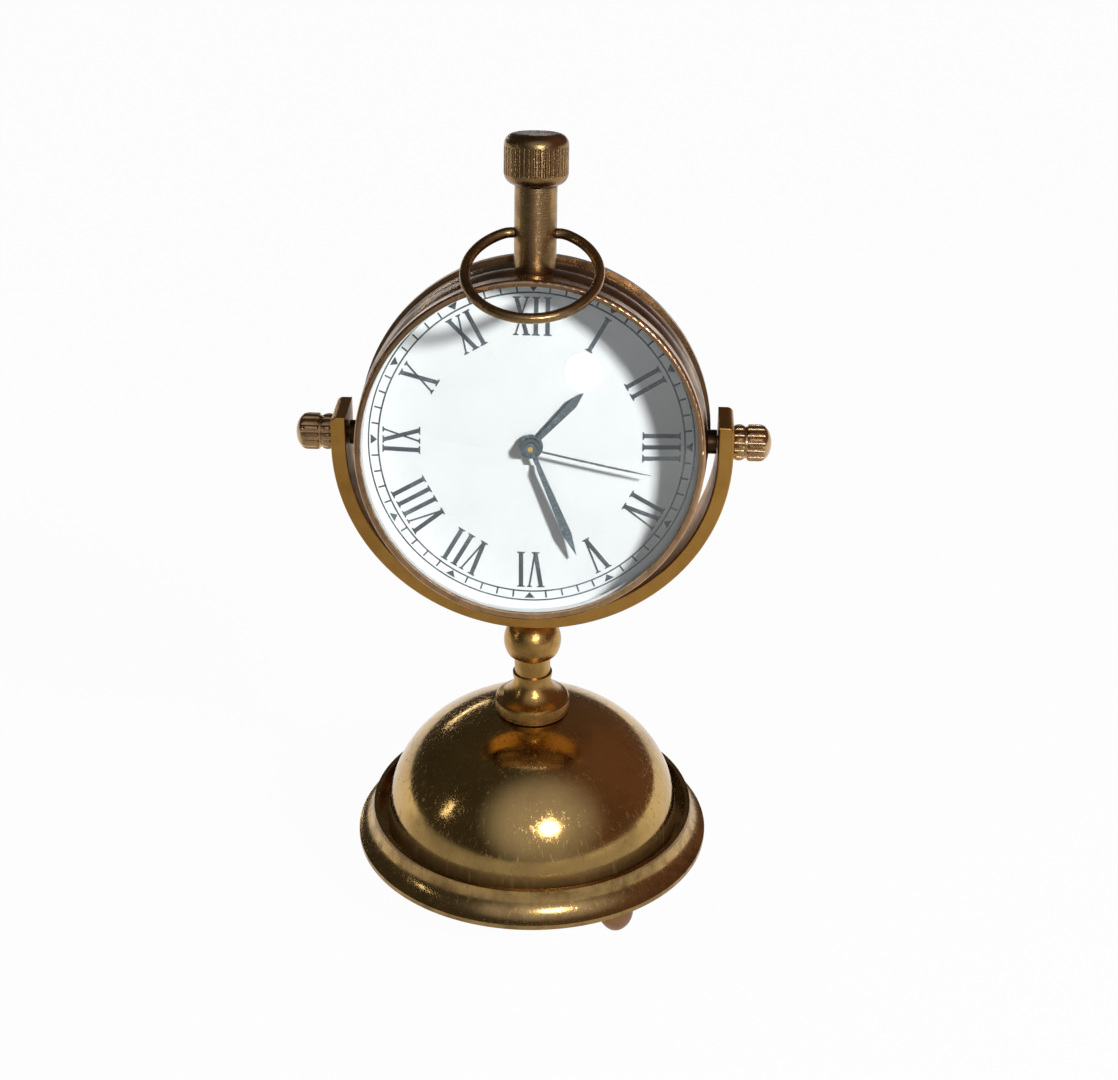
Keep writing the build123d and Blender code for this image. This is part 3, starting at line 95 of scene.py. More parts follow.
def brass(name, clean, tarnish, patchy, roughness, patch_mm, line_axis, line_mm, line_depth,
          scratch_depth, scratch_haze=0.10, scratch_turn=(0.5, 0.9, 0.6), scratch_squeeze=(1.0, 0.05, 0.4),
          groove=None):
    """Worked brass: patches of tarnish, tool lines across one axis, and hairline scratches."""
    material, tree, output, place = fresh(name)
    patches = add(tree, "ShaderNodeTexNoise", {
        "Vector": place, "Scale": per_mm(patch_mm), "Detail": 6.0, "Roughness": 0.62})
    cover = add(tree, "ShaderNodeMapRange", {
        "Value": patches.outputs["Fac"], "From Min": 0.42, "From Max": 0.72, "To Max": patchy})
    specks = add(tree, "ShaderNodeTexNoise", {
        "Vector": place, "Scale": per_mm(0.5), "Detail": 3.0, "Roughness": 0.7})
    pits = add(tree, "ShaderNodeMapRange", {
        "Value": specks.outputs["Fac"], "From Min": 0.6, "From Max": 0.75, "To Max": 0.35})
    dull = add(tree, "ShaderNodeMath", {
        0: cover.outputs["Result"], 1: pits.outputs["Result"]}, operation="MAXIMUM")
    colour = add(tree, "ShaderNodeMix", {
        "Factor": dull.outputs["Value"], "A": linear(clean), "B": linear(tarnish)}, data_type="RGBA")
    # Tool lines: noise squeezed along one axis, so that it reads as fine parallel rings.
    squeeze = [0.06, 0.06, 0.06]
    squeeze[line_axis] = 1.0
    lined = add(tree, "ShaderNodeMapping", {"Vector": place, "Scale": squeeze})
    lines = add(tree, "ShaderNodeTexNoise", {
        "Vector": lined.outputs["Vector"], "Scale": per_mm(line_mm), "Detail": 4.0, "Roughness": 0.6})
    # Hairlines: the peaks of a noise that is stretched along the way the cloth went.
    tilted = add(tree, "ShaderNodeMapping", {
        "Vector": place, "Rotation": scratch_turn, "Scale": scratch_squeeze})
    streaks = add(tree, "ShaderNodeTexNoise", {
        "Vector": tilted.outputs["Vector"], "Scale": per_mm(0.6), "Detail": 5.0, "Roughness": 0.7})
    hairs = add(tree, "ShaderNodeMapRange", {
        "Value": streaks.outputs["Fac"], "From Min": 0.55, "From Max": 0.7})
    rough = add(tree, "ShaderNodeMath", {
        0: dull.outputs["Value"], 1: 0.22, 2: roughness}, operation="MULTIPLY_ADD")
    rough_lines = add(tree, "ShaderNodeMath", {
        0: hairs.outputs["Result"], 1: scratch_haze, 2: rough.outputs["Value"]}, operation="MULTIPLY_ADD")
    if groove:
        # Down in a groove no cloth reaches the metal, so it stays dull and mirrors nothing sharply.
        height = add(tree, "ShaderNodeSeparateXYZ", {"Vector": place})
        deep = add(tree, "ShaderNodeMapRange", {
            "Value": height.outputs["Z"], "From Min": groove[0] * MM, "From Max": groove[1] * MM,
            "To Min": 0.45, "To Max": 0.0}, interpolation_type="SMOOTHSTEP")
        rough_lines = add(tree, "ShaderNodeMath", {
            0: rough_lines.outputs["Value"], 1: deep.outputs["Result"]}, operation="ADD")
    cut = add(tree, "ShaderNodeBump", {
        "Height": lines.outputs["Fac"], "Strength": 1.0, "Distance": line_depth * MM})
    scratched = add(tree, "ShaderNodeBump", {
        "Height": hairs.outputs["Result"], "Strength": 1.0, "Distance": scratch_depth * MM,
        "Normal": cut.outputs["Normal"]})
    shader = add(tree, "ShaderNodeBsdfPrincipled", {
        "Base Color": colour.outputs["Result"], "Metallic": 1.0,
        "Roughness": rough_lines.outputs["Value"], "Normal": scratched.outputs["Normal"]})
    tree.links.new(shader.outputs["BSDF"], output.inputs["Surface"])
    return material


print("recipe:", brass.__doc__)

# %% [markdown]
# One call for each way the brass was worked. The numbers are how patchy the tarnish is, the roughness,
# the sizes of patches and tool lines in millimetres, the axis that the lines are stacked along, and how
# deep lines and hairlines are. The clock's bright and dull pieces then differ by their making alone.

# %% Brass finishes
UPRIGHT_HAIRS = {"scratch_turn": (0.0, 0.12, 0.0), "scratch_squeeze": (1.0, 1.0, 0.06)}
# Spun and buffed: it mirrors the room, and upright hairlines catch the lamp round its bright spot.
polished_brass = brass(
    "polished spun brass", "#C4A062", "#6E4E28", patchy=0.45, roughness=0.10, patch_mm=9.0, line_axis=Z,
    line_mm=0.30, line_depth=0.004, scratch_depth=0.004, scratch_haze=0.34, groove=(11.6, 13.4),
    **UPRIGHT_HAIRS)
# Cast, turned and buffed: bright like the dome, with more brown left on it.
base_brass = brass(
    "polished cast brass", "#C4A066", "#5E4426", patchy=0.75, roughness=0.18, patch_mm=4.0, line_axis=Z,
    line_mm=0.30, line_depth=0.006, scratch_depth=0.006, scratch_haze=0.25, **UPRIGHT_HAIRS)
# Rolled strip: an even ochre sheen without a mirror image.
satin_brass = brass(
    "satin strip brass", "#C4924A", "#966A30", patchy=0.55, roughness=0.28, patch_mm=7.0, line_axis=Y,
    line_mm=0.22, line_depth=0.010, scratch_depth=0.004)
# Turned: the tool's rings draw each bright spot out, up and down.
turned_brass = brass(
    "turned brass", "#BC9252", "#6E4C26", patchy=0.60, roughness=0.22, patch_mm=4.0, line_axis=Z,
    line_mm=0.18, line_depth=0.034, scratch_depth=0.004)
# Turned and browned by hands: a dark gold.
aged_brass = brass(
    "aged bronze-brown brass", "#A4845A", "#5A4429", patchy=0.75, roughness=0.20, patch_mm=4.0,
    line_axis=Z, line_mm=0.14, line_depth=0.028, scratch_depth=0.006)
# Drawn brass with more copper in it: a rosy brown with tarnish patches, made darker than the bezel as
# painted shade, since the band sits in shadow behind bezel and yoke.
shaded_rosy_brass = brass(
    "rosy drawn brass darkened as shade", "#987650", "#4A3826", patchy=0.80, roughness=0.24, patch_mm=5.0, line_axis=Y,
    line_mm=0.30, line_depth=0.003, scratch_depth=0.004)
# Sheet: a plain dull gold.
back_brass = brass(
    "plain sheet brass", "#A8804E", "#80603A", patchy=0.45, roughness=0.24, patch_mm=9.0, line_axis=Y,
    line_mm=0.30, line_depth=0.003, scratch_depth=0.004)
# The bezel is the same rosy brass, lighter than the band, whose darker colour is painted shade.
bezel_brass = brass(
    "rosy turned brass", "#C29A72", "#6B4C34", patchy=0.60, roughness=0.18, patch_mm=3.0, line_axis=Y,
    line_mm=0.30, line_depth=0.004, scratch_depth=0.004)
# Pale, and bright where fingers hold it.
knob_brass = brass(
    "pale turned brass", "#C4A074", "#6A4C30", patchy=0.60, roughness=0.18, patch_mm=3.0, line_axis=X,
    line_mm=0.25, line_depth=0.006, scratch_depth=0.004)
# Painted shade: nearly black brass stands in for the shade between case and yoke, where almost no light
# falls.
shade_dark_brass = brass(
    "brass darkened as painted shade", "#4A3828", "#241A12", patchy=0.60, roughness=0.32, patch_mm=3.0, line_axis=X,
    line_mm=0.25, line_depth=0.006, scratch_depth=0.004)
# Dull: no cloth reaches under the base.
foot_brass = brass(
    "dull turned brass", "#A67C5A", "#6E4A33", patchy=0.60, roughness=0.30, patch_mm=3.0, line_axis=Z,
    line_mm=0.25, line_depth=0.010, scratch_depth=0.004)
print("brass finishes:", len([m for m in bpy.data.materials if "brass" in m.name]))

# %% [markdown]
# The dial is white enamel with a trace of blue, behind a clear domed glass. Enamel is a glass too, so
# it has a hard sheen over a milky body. The window glass needs one trick: in a path tracer little
# light finds its way through glass to the dial, so rays between the dial and a lamp go straight through.

# %% Dial enamel, dial wall and lens glass
def enamel(name, colour, speck_colour, roughness):
    """Fired white enamel: an even body with faint specks under a smooth skin."""
    material, tree, output, place = fresh(name)
    cloud = add(tree, "ShaderNodeTexNoise", {"Vector": place, "Scale": per_mm(6.0), "Detail": 5.0})
    grain = add(tree, "ShaderNodeTexNoise", {"Vector": place, "Scale": per_mm(0.25), "Detail": 2.0})
    mixed = add(tree, "ShaderNodeMath", {
        0: cloud.outputs["Fac"], 1: grain.outputs["Fac"]}, operation="MULTIPLY")
    amount = add(tree, "ShaderNodeMapRange", {
        "Value": mixed.outputs["Value"], "From Min": 0.2, "From Max": 0.45})
    tint = add(tree, "ShaderNodeMix", {
        "Factor": amount.outputs["Result"], "A": linear(colour), "B": linear(speck_colour)},
        data_type="RGBA")
    skin = add(tree, "ShaderNodeMapRange", {
        "Value": cloud.outputs["Fac"], "To Min": roughness - 0.05, "To Max": roughness + 0.05})
    wave = add(tree, "ShaderNodeBump", {
        "Height": cloud.outputs["Fac"], "Strength": 1.0, "Distance": 0.01 * MM})
    shader = add(tree, "ShaderNodeBsdfPrincipled", {
        "Base Color": tint.outputs["Result"], "Roughness": skin.outputs["Result"], "IOR": 1.5,
        "Normal": wave.outputs["Normal"]})
    tree.links.new(shader.outputs["BSDF"], output.inputs["Surface"])
    return material


# Fired enamel stays a cool white. The painted wall round it is greyer and more matt.
white_enamel = enamel("white dial enamel", "#F1F3F3", "#E9ECED", roughness=0.35)
wall_paint = enamel("white dial wall paint", "#E6E9E8", "#D5DAD9", roughness=0.5)

# Clear glass: the dial shows through it unclouded, under a trace of smear from wiping.
lens_glass, tree, output, place = fresh("clear lens glass")
smear = add(tree, "ShaderNodeTexNoise", {"Vector": place, "Scale": per_mm(7.0), "Detail": 4.0})
film = add(tree, "ShaderNodeMapRange", {
    "Value": smear.outputs["Fac"], "From Min": 0.5, "From Max": 0.8, "To Min": 0.0, "To Max": 0.05})
glass = add(tree, "ShaderNodeBsdfPrincipled", {
    "Base Color": linear("#FCFDFD"), "Roughness": film.outputs["Result"], "IOR": 1.5,
    "Transmission Weight": 1.0})
open_way = add(tree, "ShaderNodeBsdfTransparent", {"Color": linear("#FAFBFB")})
path = add(tree, "ShaderNodeLightPath")
from_dial = add(tree, "ShaderNodeMixShader", {
    0: path.outputs["Is Diffuse Ray"], 1: glass.outputs["BSDF"], 2: open_way.outputs["BSDF"]})
to_lamp = add(tree, "ShaderNodeMixShader", {
    0: path.outputs["Is Shadow Ray"], 1: from_dial.outputs["Shader"], 2: open_way.outputs["BSDF"]})
tree.links.new(to_lamp.outputs["Shader"], output.inputs["Surface"])
print("dial finishes made:", white_enamel.name, wall_paint.name, lens_glass.name)

# %% [markdown]
# The hands are thin steel strip with a blue-grey oxide, worn to a speckle. The same recipe, with other
# colours, serves the steel screws and the stem. Inside the case are moulded plastic, gilt plates,
# copper wire and a green circuit board. They show when the case is opened, so each has its own finish.

# %% Steel, plastic, wire and circuit board
def oxide_steel(name, body, worn, roughness, speck_mm):
    """Steel under a thin oxide, which specks of wear break through."""
    material, tree, output, place = fresh(name)
    specks = add(tree, "ShaderNodeTexNoise", {
        "Vector": place, "Scale": per_mm(speck_mm), "Detail": 4.0, "Roughness": 0.7})
    bare = add(tree, "ShaderNodeMapRange", {
        "Value": specks.outputs["Fac"], "From Min": 0.5, "From Max": 0.68})
    colour = add(tree, "ShaderNodeMix", {
        "Factor": bare.outputs["Result"], "A": linear(body), "B": linear(worn)}, data_type="RGBA")
    shine = add(tree, "ShaderNodeMapRange", {
        "Value": specks.outputs["Fac"], "To Min": roughness + 0.12, "To Max": roughness - 0.08})
    relief = add(tree, "ShaderNodeBump", {
        "Height": specks.outputs["Fac"], "Strength": 1.0, "Distance": 0.008 * MM})
    shader = add(tree, "ShaderNodeBsdfPrincipled", {
        "Base Color": colour.outputs["Result"], "Metallic": 0.8, "Roughness": shine.outputs["Result"],
        "Normal": relief.outputs["Normal"]})
    tree.links.new(shader.outputs["BSDF"], output.inputs["Surface"])
    return material


def moulded(name, body, mottle, roughness, grain_mm):
    """Moulded or printed material: a faint mottle and a fine skin texture."""
    material, tree, output, place = fresh(name)
    grain = add(tree, "ShaderNodeTexNoise", {"Vector": place, "Scale": per_mm(grain_mm), "Detail": 5.0})
    colour = add(tree, "ShaderNodeMix", {
        "Factor": grain.outputs["Fac"], "A": linear(body), "B": linear(mottle)}, data_type="RGBA")
    skin = add(tree, "ShaderNodeMapRange", {
        "Value": grain.outputs["Fac"], "To Min": roughness - 0.06, "To Max": roughness + 0.06})
    relief = add(tree, "ShaderNodeBump", {
        "Height": grain.outputs["Fac"], "Strength": 1.0, "Distance": 0.01 * MM})
    shader = add(tree, "ShaderNodeBsdfPrincipled", {
        "Base Color": colour.outputs["Result"], "Roughness": skin.outputs["Result"],
        "Normal": relief.outputs["Normal"]})
    tree.links.new(shader.outputs["BSDF"], output.inputs["Surface"])
    return material


# Oxide makes the hands dark and matt against the enamel. Bare screws shine, and cores are a plain grey.
hand_steel = oxide_steel("blue-grey oxide steel", "#4C5A60", "#93A3A8", roughness=0.42, speck_mm=0.25)
bright_steel = oxide_steel("bright screw steel", "#8D9094", "#B8BABC", roughness=0.28, speck_mm=0.6)
magnet_steel = oxide_steel("magnet and core steel", "#5C5E60", "#85878A", roughness=0.38, speck_mm=0.5)
# Gilding keeps the movement a clear yellow, brighter than any brass outside.
gilt_brass = brass(
    "gilt movement brass", "#D9B25C", "#A98437", patchy=0.30, roughness=0.22, patch_mm=5.0, line_axis=X,
    line_mm=0.25, line_depth=0.006, scratch_depth=0.002)
# Acetal is a waxy off-white, epoxy a dull black, and the board shows its green mask.
holder_plastic = moulded("moulded acetal", "#E7E5DE", "#D6D3C9", roughness=0.5, grain_mm=1.5)
chip_plastic = moulded("black epoxy moulding", "#1B1C1E", "#2A2B2D", roughness=0.55, grain_mm=0.3)
board_laminate = moulded("green glass-epoxy laminate", "#1F5A37", "#2E6E46", roughness=0.42, grain_mm=0.4)
# The brass recipe in copper's colours: its tool lines pass for the turns of the wire.
coil_wire = brass(
    "enamelled copper wire", "#C2703D", "#8E4A22", patchy=0.3, roughness=0.25, patch_mm=3.0, line_axis=Y,
    line_mm=0.12, line_depth=0.03, scratch_depth=0.0)
# Nickel is a warm pale grey and the smoothest of the steels.
cell_steel = oxide_steel("nickel-plated cell steel", "#A9ABA8", "#C9CAC6", roughness=0.25, speck_mm=0.9)
print("materials so far:", len(bpy.data.materials))

# %% [markdown]
# Each CAD node now gets its finish. The table goes by how the real piece is made, not by where it is,
# so that a reader can see at a glance which pieces share a bar of metal or a mould.

# %% Finishes on the CAD nodes
finishes = {
    polished_brass: ["bell_dome"],
    base_brass: ["base_ring"],
    turned_brass: ["pillar"],
    knob_brass: ["left_knob", "right_knob"],
    satin_brass: ["yoke", "base_plate"],
    aged_brass: ["crown", "pendant_tube", "bow"],
    # The case band's darker rosy brass is partly painted shade.
    shaded_rosy_brass: ["case_band"],
    back_brass: ["back_cover"],
    bezel_brass: ["bezel"],
    # Painted shade: the pivot bushes get the near-black brass.
    shade_dark_brass: ["pivot_bushes"],
    foot_brass: ["feet"],
    white_enamel: ["dial"],
    wall_paint: ["dial_ring"],
    lens_glass: ["lens"],
    hand_steel: ["hour_hand", "minute_hand", "second_hand"],
    bright_steel: ["tie_stud", "stud_washer", "stud_nut", "yoke_screw", "bridge_screws", "setting_stem",
                   "stem_collar", "stem_guide", "cell_contact"],
    magnet_steel: ["rotor", "stator", "coil_core"],
    gilt_brass: ["main_plate", "train_bridge", "bridge_posts", "centre_bush", "centre_wheel",
                 "third_wheel", "second_wheel", "intermediate_wheel", "minute_wheel", "hour_wheel"],
    holder_plastic: ["movement_holder"],
    chip_plastic: ["driver_chip"],
    board_laminate: ["circuit_board"],
    coil_wire: ["coil"],
    cell_steel: ["button_cell", "quartz_crystal"],
}
dressed = set()
for material, names in finishes.items():
    for name in names:
        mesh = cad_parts[name].data
        mesh.materials.clear()
        mesh.materials.append(material)
        dressed.add(name)
print("nodes without a finish:", sorted(set(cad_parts) - dressed))

# %% [markdown]
# The dial's own frame: the case leans back nine degrees, so the printing is drawn flat, with twelve
# o'clock along Y, and then turned and lifted onto the dial's front. The lean, the pivots' height and the
# dial's place in front of them are the CAD model's own values.

# %% Place of the dial
LEAN = math.radians(9.0)
PIVOT_Z = 78.9774 * MM
DIAL_FRONT = 3.43 * MM
INK = 0.03 * MM
outward = Vector((0.0, -math.cos(LEAN), math.sin(LEAN)))
dial_centre = Vector((0.0, 0.0, PIVOT_Z)) + outward * DIAL_FRONT


def only(obj):
    """Select one object and make it active."""
    bpy.ops.object.select_all(action="DESELECT")
    obj.select_set(True)
    bpy.context.view_layer.objects.active = obj


def apply_place(obj):
    """Move an object's place, turn and size into its mesh."""
    only(obj)
    bpy.ops.object.transform_apply(location=True, rotation=True, scale=True)


def onto_dial(obj):
    """Turn a flat drawing to the dial and lay it on the dial's front."""
    obj.rotation_euler = (math.pi / 2 - LEAN, 0.0, 0.0)
    obj.location = dial_centre
    apply_place(obj)


def pick(mesh, rule):
    """Select the vertices that a rule accepts, and the edges and faces between them."""
    bpy.ops.mesh.select_all(action="DESELECT")
    bpy.ops.object.mode_set(mode="OBJECT")
    for vertex in mesh.vertices:
        vertex.select = rule(vertex.co)
    for edge in mesh.edges:
        edge.select = all(mesh.vertices[v].select for v in edge.vertices)
    for face in mesh.polygons:
        face.select = all(mesh.vertices[v].select for v in face.vertices)
    bpy.ops.object.mode_set(mode="EDIT")


print("dial centre (mm):", [round(v / MM, 2) for v in dial_centre])

# %% [markdown]
# The printing is thin dark ink, a little worn. Roman numerals need only three letters. Each stroke is
# a plane that is narrowed to its width, and its ends are extruded and widened to serifs, the way a
# sign writer finishes a stroke. Text could give numerals too, but the built-in font has no serifs.

# %% Ink
ink, tree, output, place = fresh("worn printing ink")
wear = add(tree, "ShaderNodeTexNoise", {
    "Vector": place, "Scale": per_mm(0.35), "Detail": 4.0, "Roughness": 0.7})
fade = add(tree, "ShaderNodeTexNoise", {"Vector": place, "Scale": per_mm(5.0), "Detail": 2.0})
both = add(tree, "ShaderNodeMath", {
    0: wear.outputs["Fac"], 1: fade.outputs["Fac"]}, operation="MULTIPLY")
thin = add(tree, "ShaderNodeMapRange", {
    "Value": both.outputs["Value"], "From Min": 0.22, "From Max": 0.42})
shade = add(tree, "ShaderNodeMix", {
    "Factor": thin.outputs["Result"], "A": linear("#2C353A"), "B": linear("#66727A")}, data_type="RGBA")
gloss = add(tree, "ShaderNodeMapRange", {"Value": wear.outputs["Fac"], "To Min": 0.45, "To Max": 0.7})
printed = add(tree, "ShaderNodeBsdfPrincipled", {
    "Base Color": shade.outputs["Result"], "Roughness": gloss.outputs["Result"]})
tree.links.new(printed.outputs["BSDF"], output.inputs["Surface"])
print("ink:", ink.name)

# %% Strokes
LETTER_HEIGHT = 5.7
THICK, THIN = 0.62, 0.26
SERIF_RISE, SERIF_OUT = 0.14, 0.26


def stroke(width, top_x, bottom_x):
    """A straight stroke with serifs at both ends, from the letter's foot to its top, in millimetres."""
    bpy.ops.object.select_all(action="DESELECT")
    bpy.ops.mesh.primitive_plane_add(size=1.0)
    obj = bpy.context.object
    obj.scale = (width, LETTER_HEIGHT - 4 * SERIF_RISE, 1.0)
    apply_place(obj)
    bpy.ops.object.mode_set(mode="EDIT")
    for side, shift in ((1, top_x), (-1, bottom_x)):
        pick(obj.data, lambda co: co.y * side > 0)
        bpy.ops.transform.translate(value=(shift, 0.0, 0.0))
        bpy.ops.mesh.extrude_edges_move(TRANSFORM_OT_translate={"value": (0.0, side * SERIF_RISE, 0.0)})
        widen = 1 + 2 * SERIF_OUT / width
        bpy.ops.transform.resize(value=(widen, 1.0, 1.0), center_override=(shift, 0.0, 0.0))
        bpy.ops.mesh.extrude_edges_move(TRANSFORM_OT_translate={"value": (0.0, side * SERIF_RISE, 0.0)})
    bpy.ops.mesh.select_all(action="SELECT")
    bpy.ops.mesh.normals_make_consistent(inside=False)
    bpy.ops.object.mode_set(mode="OBJECT")
    return obj


def joined(parts, name):
    """Join parts to one object, under a name."""
    bpy.ops.object.select_all(action="DESELECT")
    for part in parts:
        part.select_set(True)
    bpy.context.view_layer.objects.active = parts[0]
    if len(parts) > 1:
        bpy.ops.object.join()
    parts[0].name = name
    return parts[0]


def letter(name, strokes):
    """One letter of strokes, still flat and in millimetres."""
    return joined([stroke(*s) for s in strokes], name)


# Each letter: its strokes (width, place of the top, place of the foot) and the room it takes.
letters = {
    "I": (letter("letter_one", [(THICK, 0.0, 0.0)]), 1.65),
    "V": (letter("letter_five", [(THICK, -0.8, 0.0), (THIN, 0.85, 0.12)]), 2.5),
    "X": (letter("letter_ten", [(THICK, -0.75, 0.75), (THIN, 0.75, -0.75)]), 2.5),
}
print("letters:", {k: (len(v[0].data.polygons), v[1]) for k, v in letters.items()})

# %% [markdown]
# A numeral is its letters side by side, turned so that its foot points to the centre. Each copy has
# its own mesh. The letters were drawn in millimetres, so the numeral is scaled to metres at the end.

# %% Numerals
NUMERAL_FOOT = 15.75


def inked(obj):
    """Give a flat drawing the ink's depth and colour, and lay it on the dial."""
    only(obj)
    film_depth = obj.modifiers.new("ink", "SOLIDIFY")
    film_depth.thickness = INK
    film_depth.offset = 1.0
    bpy.ops.object.modifier_apply(modifier="ink")
    onto_dial(obj)
    obj.data.materials.append(ink)


def numeral(hour, text):
    """The letters of one hour, joined, turned to the hour and laid on the dial."""
    width = sum(letters[c][1] for c in text)
    along = -width / 2
    copies = []
    for character in text:
        model, advance = letters[character]
        copy = model.copy()
        copy.data = model.data.copy()
        bpy.context.collection.objects.link(copy)
        copy.location = (along + advance / 2, NUMERAL_FOOT + LETTER_HEIGHT / 2, 0.0)
        apply_place(copy)
        copies.append(copy)
        along += advance
    whole = joined(copies, f"numeral_{hour:02d}")
    whole.rotation_euler = (0.0, 0.0, -math.radians(30 * hour))
    whole.scale = (MM, MM, MM)
    apply_place(whole)
    inked(whole)
    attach(whole, "case")
    return whole


texts = ["I", "II", "III", "IV", "V", "VI", "VII", "VIII", "IX", "X", "XI", "XII"]
numerals = [numeral(hour, text) for hour, text in enumerate(texts, start=1)]
for model, _ in letters.values():
    bpy.data.objects.remove(model)
print("numerals:", len(numerals), "faces:", sum(len(n.data.polygons) for n in numerals))

# %% [markdown]
# Round the numerals runs a railway track: two thin circles with a tick for each minute between them,
# and a solid triangle at each fifth minute, its foot to the outer line. The circles start as edges,
# extruded inwards. Each tick or triangle is a plane, narrowed at its ends and turned to its minute.

# %% Minute track
TRACK_OUT, TRACK_IN, LINE = 23.8, 22.25, 0.24
TRIANGLE_FOOT, TRIANGLE_TIP, TRIANGLE_SHORT = 1.5, 0.04, 0.08
CIRCLE_SIDES = 180


def circle_line(radius):
    """A flat ring one line wide, inside a radius in millimetres."""
    bpy.ops.object.select_all(action="DESELECT")
    bpy.ops.mesh.primitive_circle_add(vertices=CIRCLE_SIDES, radius=radius * MM)
    ring = bpy.context.object
    bpy.ops.object.mode_set(mode="EDIT")
    bpy.ops.mesh.select_all(action="SELECT")
    bpy.ops.mesh.extrude_edges_move()
    bpy.ops.transform.resize(value=((radius - LINE) / radius,) * 3)
    bpy.ops.mesh.select_all(action="SELECT")
    bpy.ops.mesh.normals_make_consistent(inside=False)
    bpy.ops.object.mode_set(mode="OBJECT")
    return ring


def mark(minute, wide_out, wide_in, gap):
    """A flat bar or triangle between the two lines, at a minute."""
    bpy.ops.object.select_all(action="DESELECT")
    bpy.ops.mesh.primitive_plane_add(size=1.0)
    bar = bpy.context.object
    bar.scale = (1.0, TRACK_OUT - TRACK_IN - 2 * LINE - gap, 1.0)
    bar.location = (0.0, (TRACK_OUT + TRACK_IN - LINE + gap) / 2 - LINE / 2, 0.0)
    apply_place(bar)
    middle = (TRACK_OUT + TRACK_IN) / 2
    bpy.ops.object.mode_set(mode="EDIT")
    for side, width in ((1, wide_out), (-1, wide_in)):
        pick(bar.data, lambda co: (co.y - middle) * side > 0)
        bpy.ops.transform.resize(value=(width, 1.0, 1.0), center_override=(0.0, 0.0, 0.0))
    bpy.ops.object.mode_set(mode="OBJECT")
    bar.rotation_euler = (0.0, 0.0, -math.radians(6 * minute))
    bar.scale = (MM, MM, MM)
    apply_place(bar)
    return bar


track_parts = [circle_line(TRACK_OUT), circle_line(TRACK_IN)]
for minute in range(60):
    if minute % 5:
        track_parts.append(mark(minute, LINE, LINE, 0.0))
    else:
        track_parts.append(mark(minute, TRIANGLE_FOOT, TRIANGLE_TIP, TRIANGLE_SHORT))
track = joined(track_parts, "minute_track")
inked(track)
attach(track, "case")
print("minute track faces:", len(track.data.polygons))

# %% [markdown]
# The stage is a plain pale floor. The photograph's ground is white, so the floor also glows for what
# looks at it, by eye or in a reflection, and keeps a trace of the clock's shadow. What the brass mirrors
# fades towards the front, because the dome's front shows no white rim in the photograph.

# %% Floor
FLOOR_SIZE, FLOOR_BACK = 6.0, 1.0
PAPER_WHITE = 0.975
# What the brass mirrors of the floor: dim in front of the clock, bright from just behind its middle.
DIM_AT, BRIGHT_AT = -0.05, 0.03
DIM, BRIGHT = 0.16, 0.97
bpy.ops.object.select_all(action="DESELECT")
bpy.ops.mesh.primitive_plane_add(size=FLOOR_SIZE, location=(0.0, FLOOR_BACK, 0.0))
floor = bpy.context.object
floor.name = "floor"
paper, tree, output, place = fresh("white paper sweep")
fibre = add(tree, "ShaderNodeTexNoise", {"Vector": place, "Scale": per_mm(30.0), "Detail": 3.0})
white = add(tree, "ShaderNodeMix", {
    "Factor": fibre.outputs["Fac"], "A": linear("#A8A8A8"), "B": linear("#A2A2A2")}, data_type="RGBA")
matt = add(tree, "ShaderNodeBsdfDiffuse", {"Color": white.outputs["Result"]})
glow = add(tree, "ShaderNodeEmission", {"Color": linear("#FFFFFF"), "Strength": 1.0})
rays = add(tree, "ShaderNodeLightPath")
by_eye = add(tree, "ShaderNodeMath", {
    0: rays.outputs["Is Camera Ray"], 1: rays.outputs["Is Transmission Ray"]}, operation="MAXIMUM")
nearly_white = add(tree, "ShaderNodeMath", {
    0: by_eye.outputs["Value"], 1: PAPER_WHITE}, operation="MULTIPLY")
# The floor's own Y counts from its middle, a metre behind the clock.
depth = add(tree, "ShaderNodeSeparateXYZ", {"Vector": place})
reach = add(tree, "ShaderNodeMapRange", {
    "Value": depth.outputs["Y"], "From Min": DIM_AT - FLOOR_BACK, "From Max": BRIGHT_AT - FLOOR_BACK,
    "To Min": DIM, "To Max": BRIGHT}, interpolation_type="SMOOTHSTEP")
mirrored = add(tree, "ShaderNodeMath", {
    0: rays.outputs["Is Glossy Ray"], 1: reach.outputs["Result"]}, operation="MULTIPLY")
either = add(tree, "ShaderNodeMath", {
    0: nearly_white.outputs["Value"], 1: mirrored.outputs["Value"]}, operation="MAXIMUM")
# A ray that has bounced off something matt carries light, so it sees the paper without its glow.
carried = add(tree, "ShaderNodeMath", {0: rays.outputs["Diffuse Depth"], 1: 0.5}, operation="LESS_THAN")
share = add(tree, "ShaderNodeMath", {
    0: either.outputs["Value"], 1: carried.outputs["Value"]}, operation="MULTIPLY")
sheet = add(tree, "ShaderNodeMixShader", {
    0: share.outputs["Value"], 1: matt.outputs["BSDF"], 2: glow.outputs["Emission"]})
tree.links.new(sheet.outputs["Shader"], output.inputs["Surface"])
floor.data.materials.append(paper)
print("floor:", floor.dimensions[:])

# %% [markdown]
# The light: a lamp to the right and in front throws the case's edge as a crescent of shade on the
# dial. A small lamp near the camera gives the bright spots on dome, pillar and base, and two narrow
# strips on the left give the short streaks there. The world is a dim warm room with a soft patch of
# light above the camera, because polished brass shows what is round it, and here that is mostly dark.

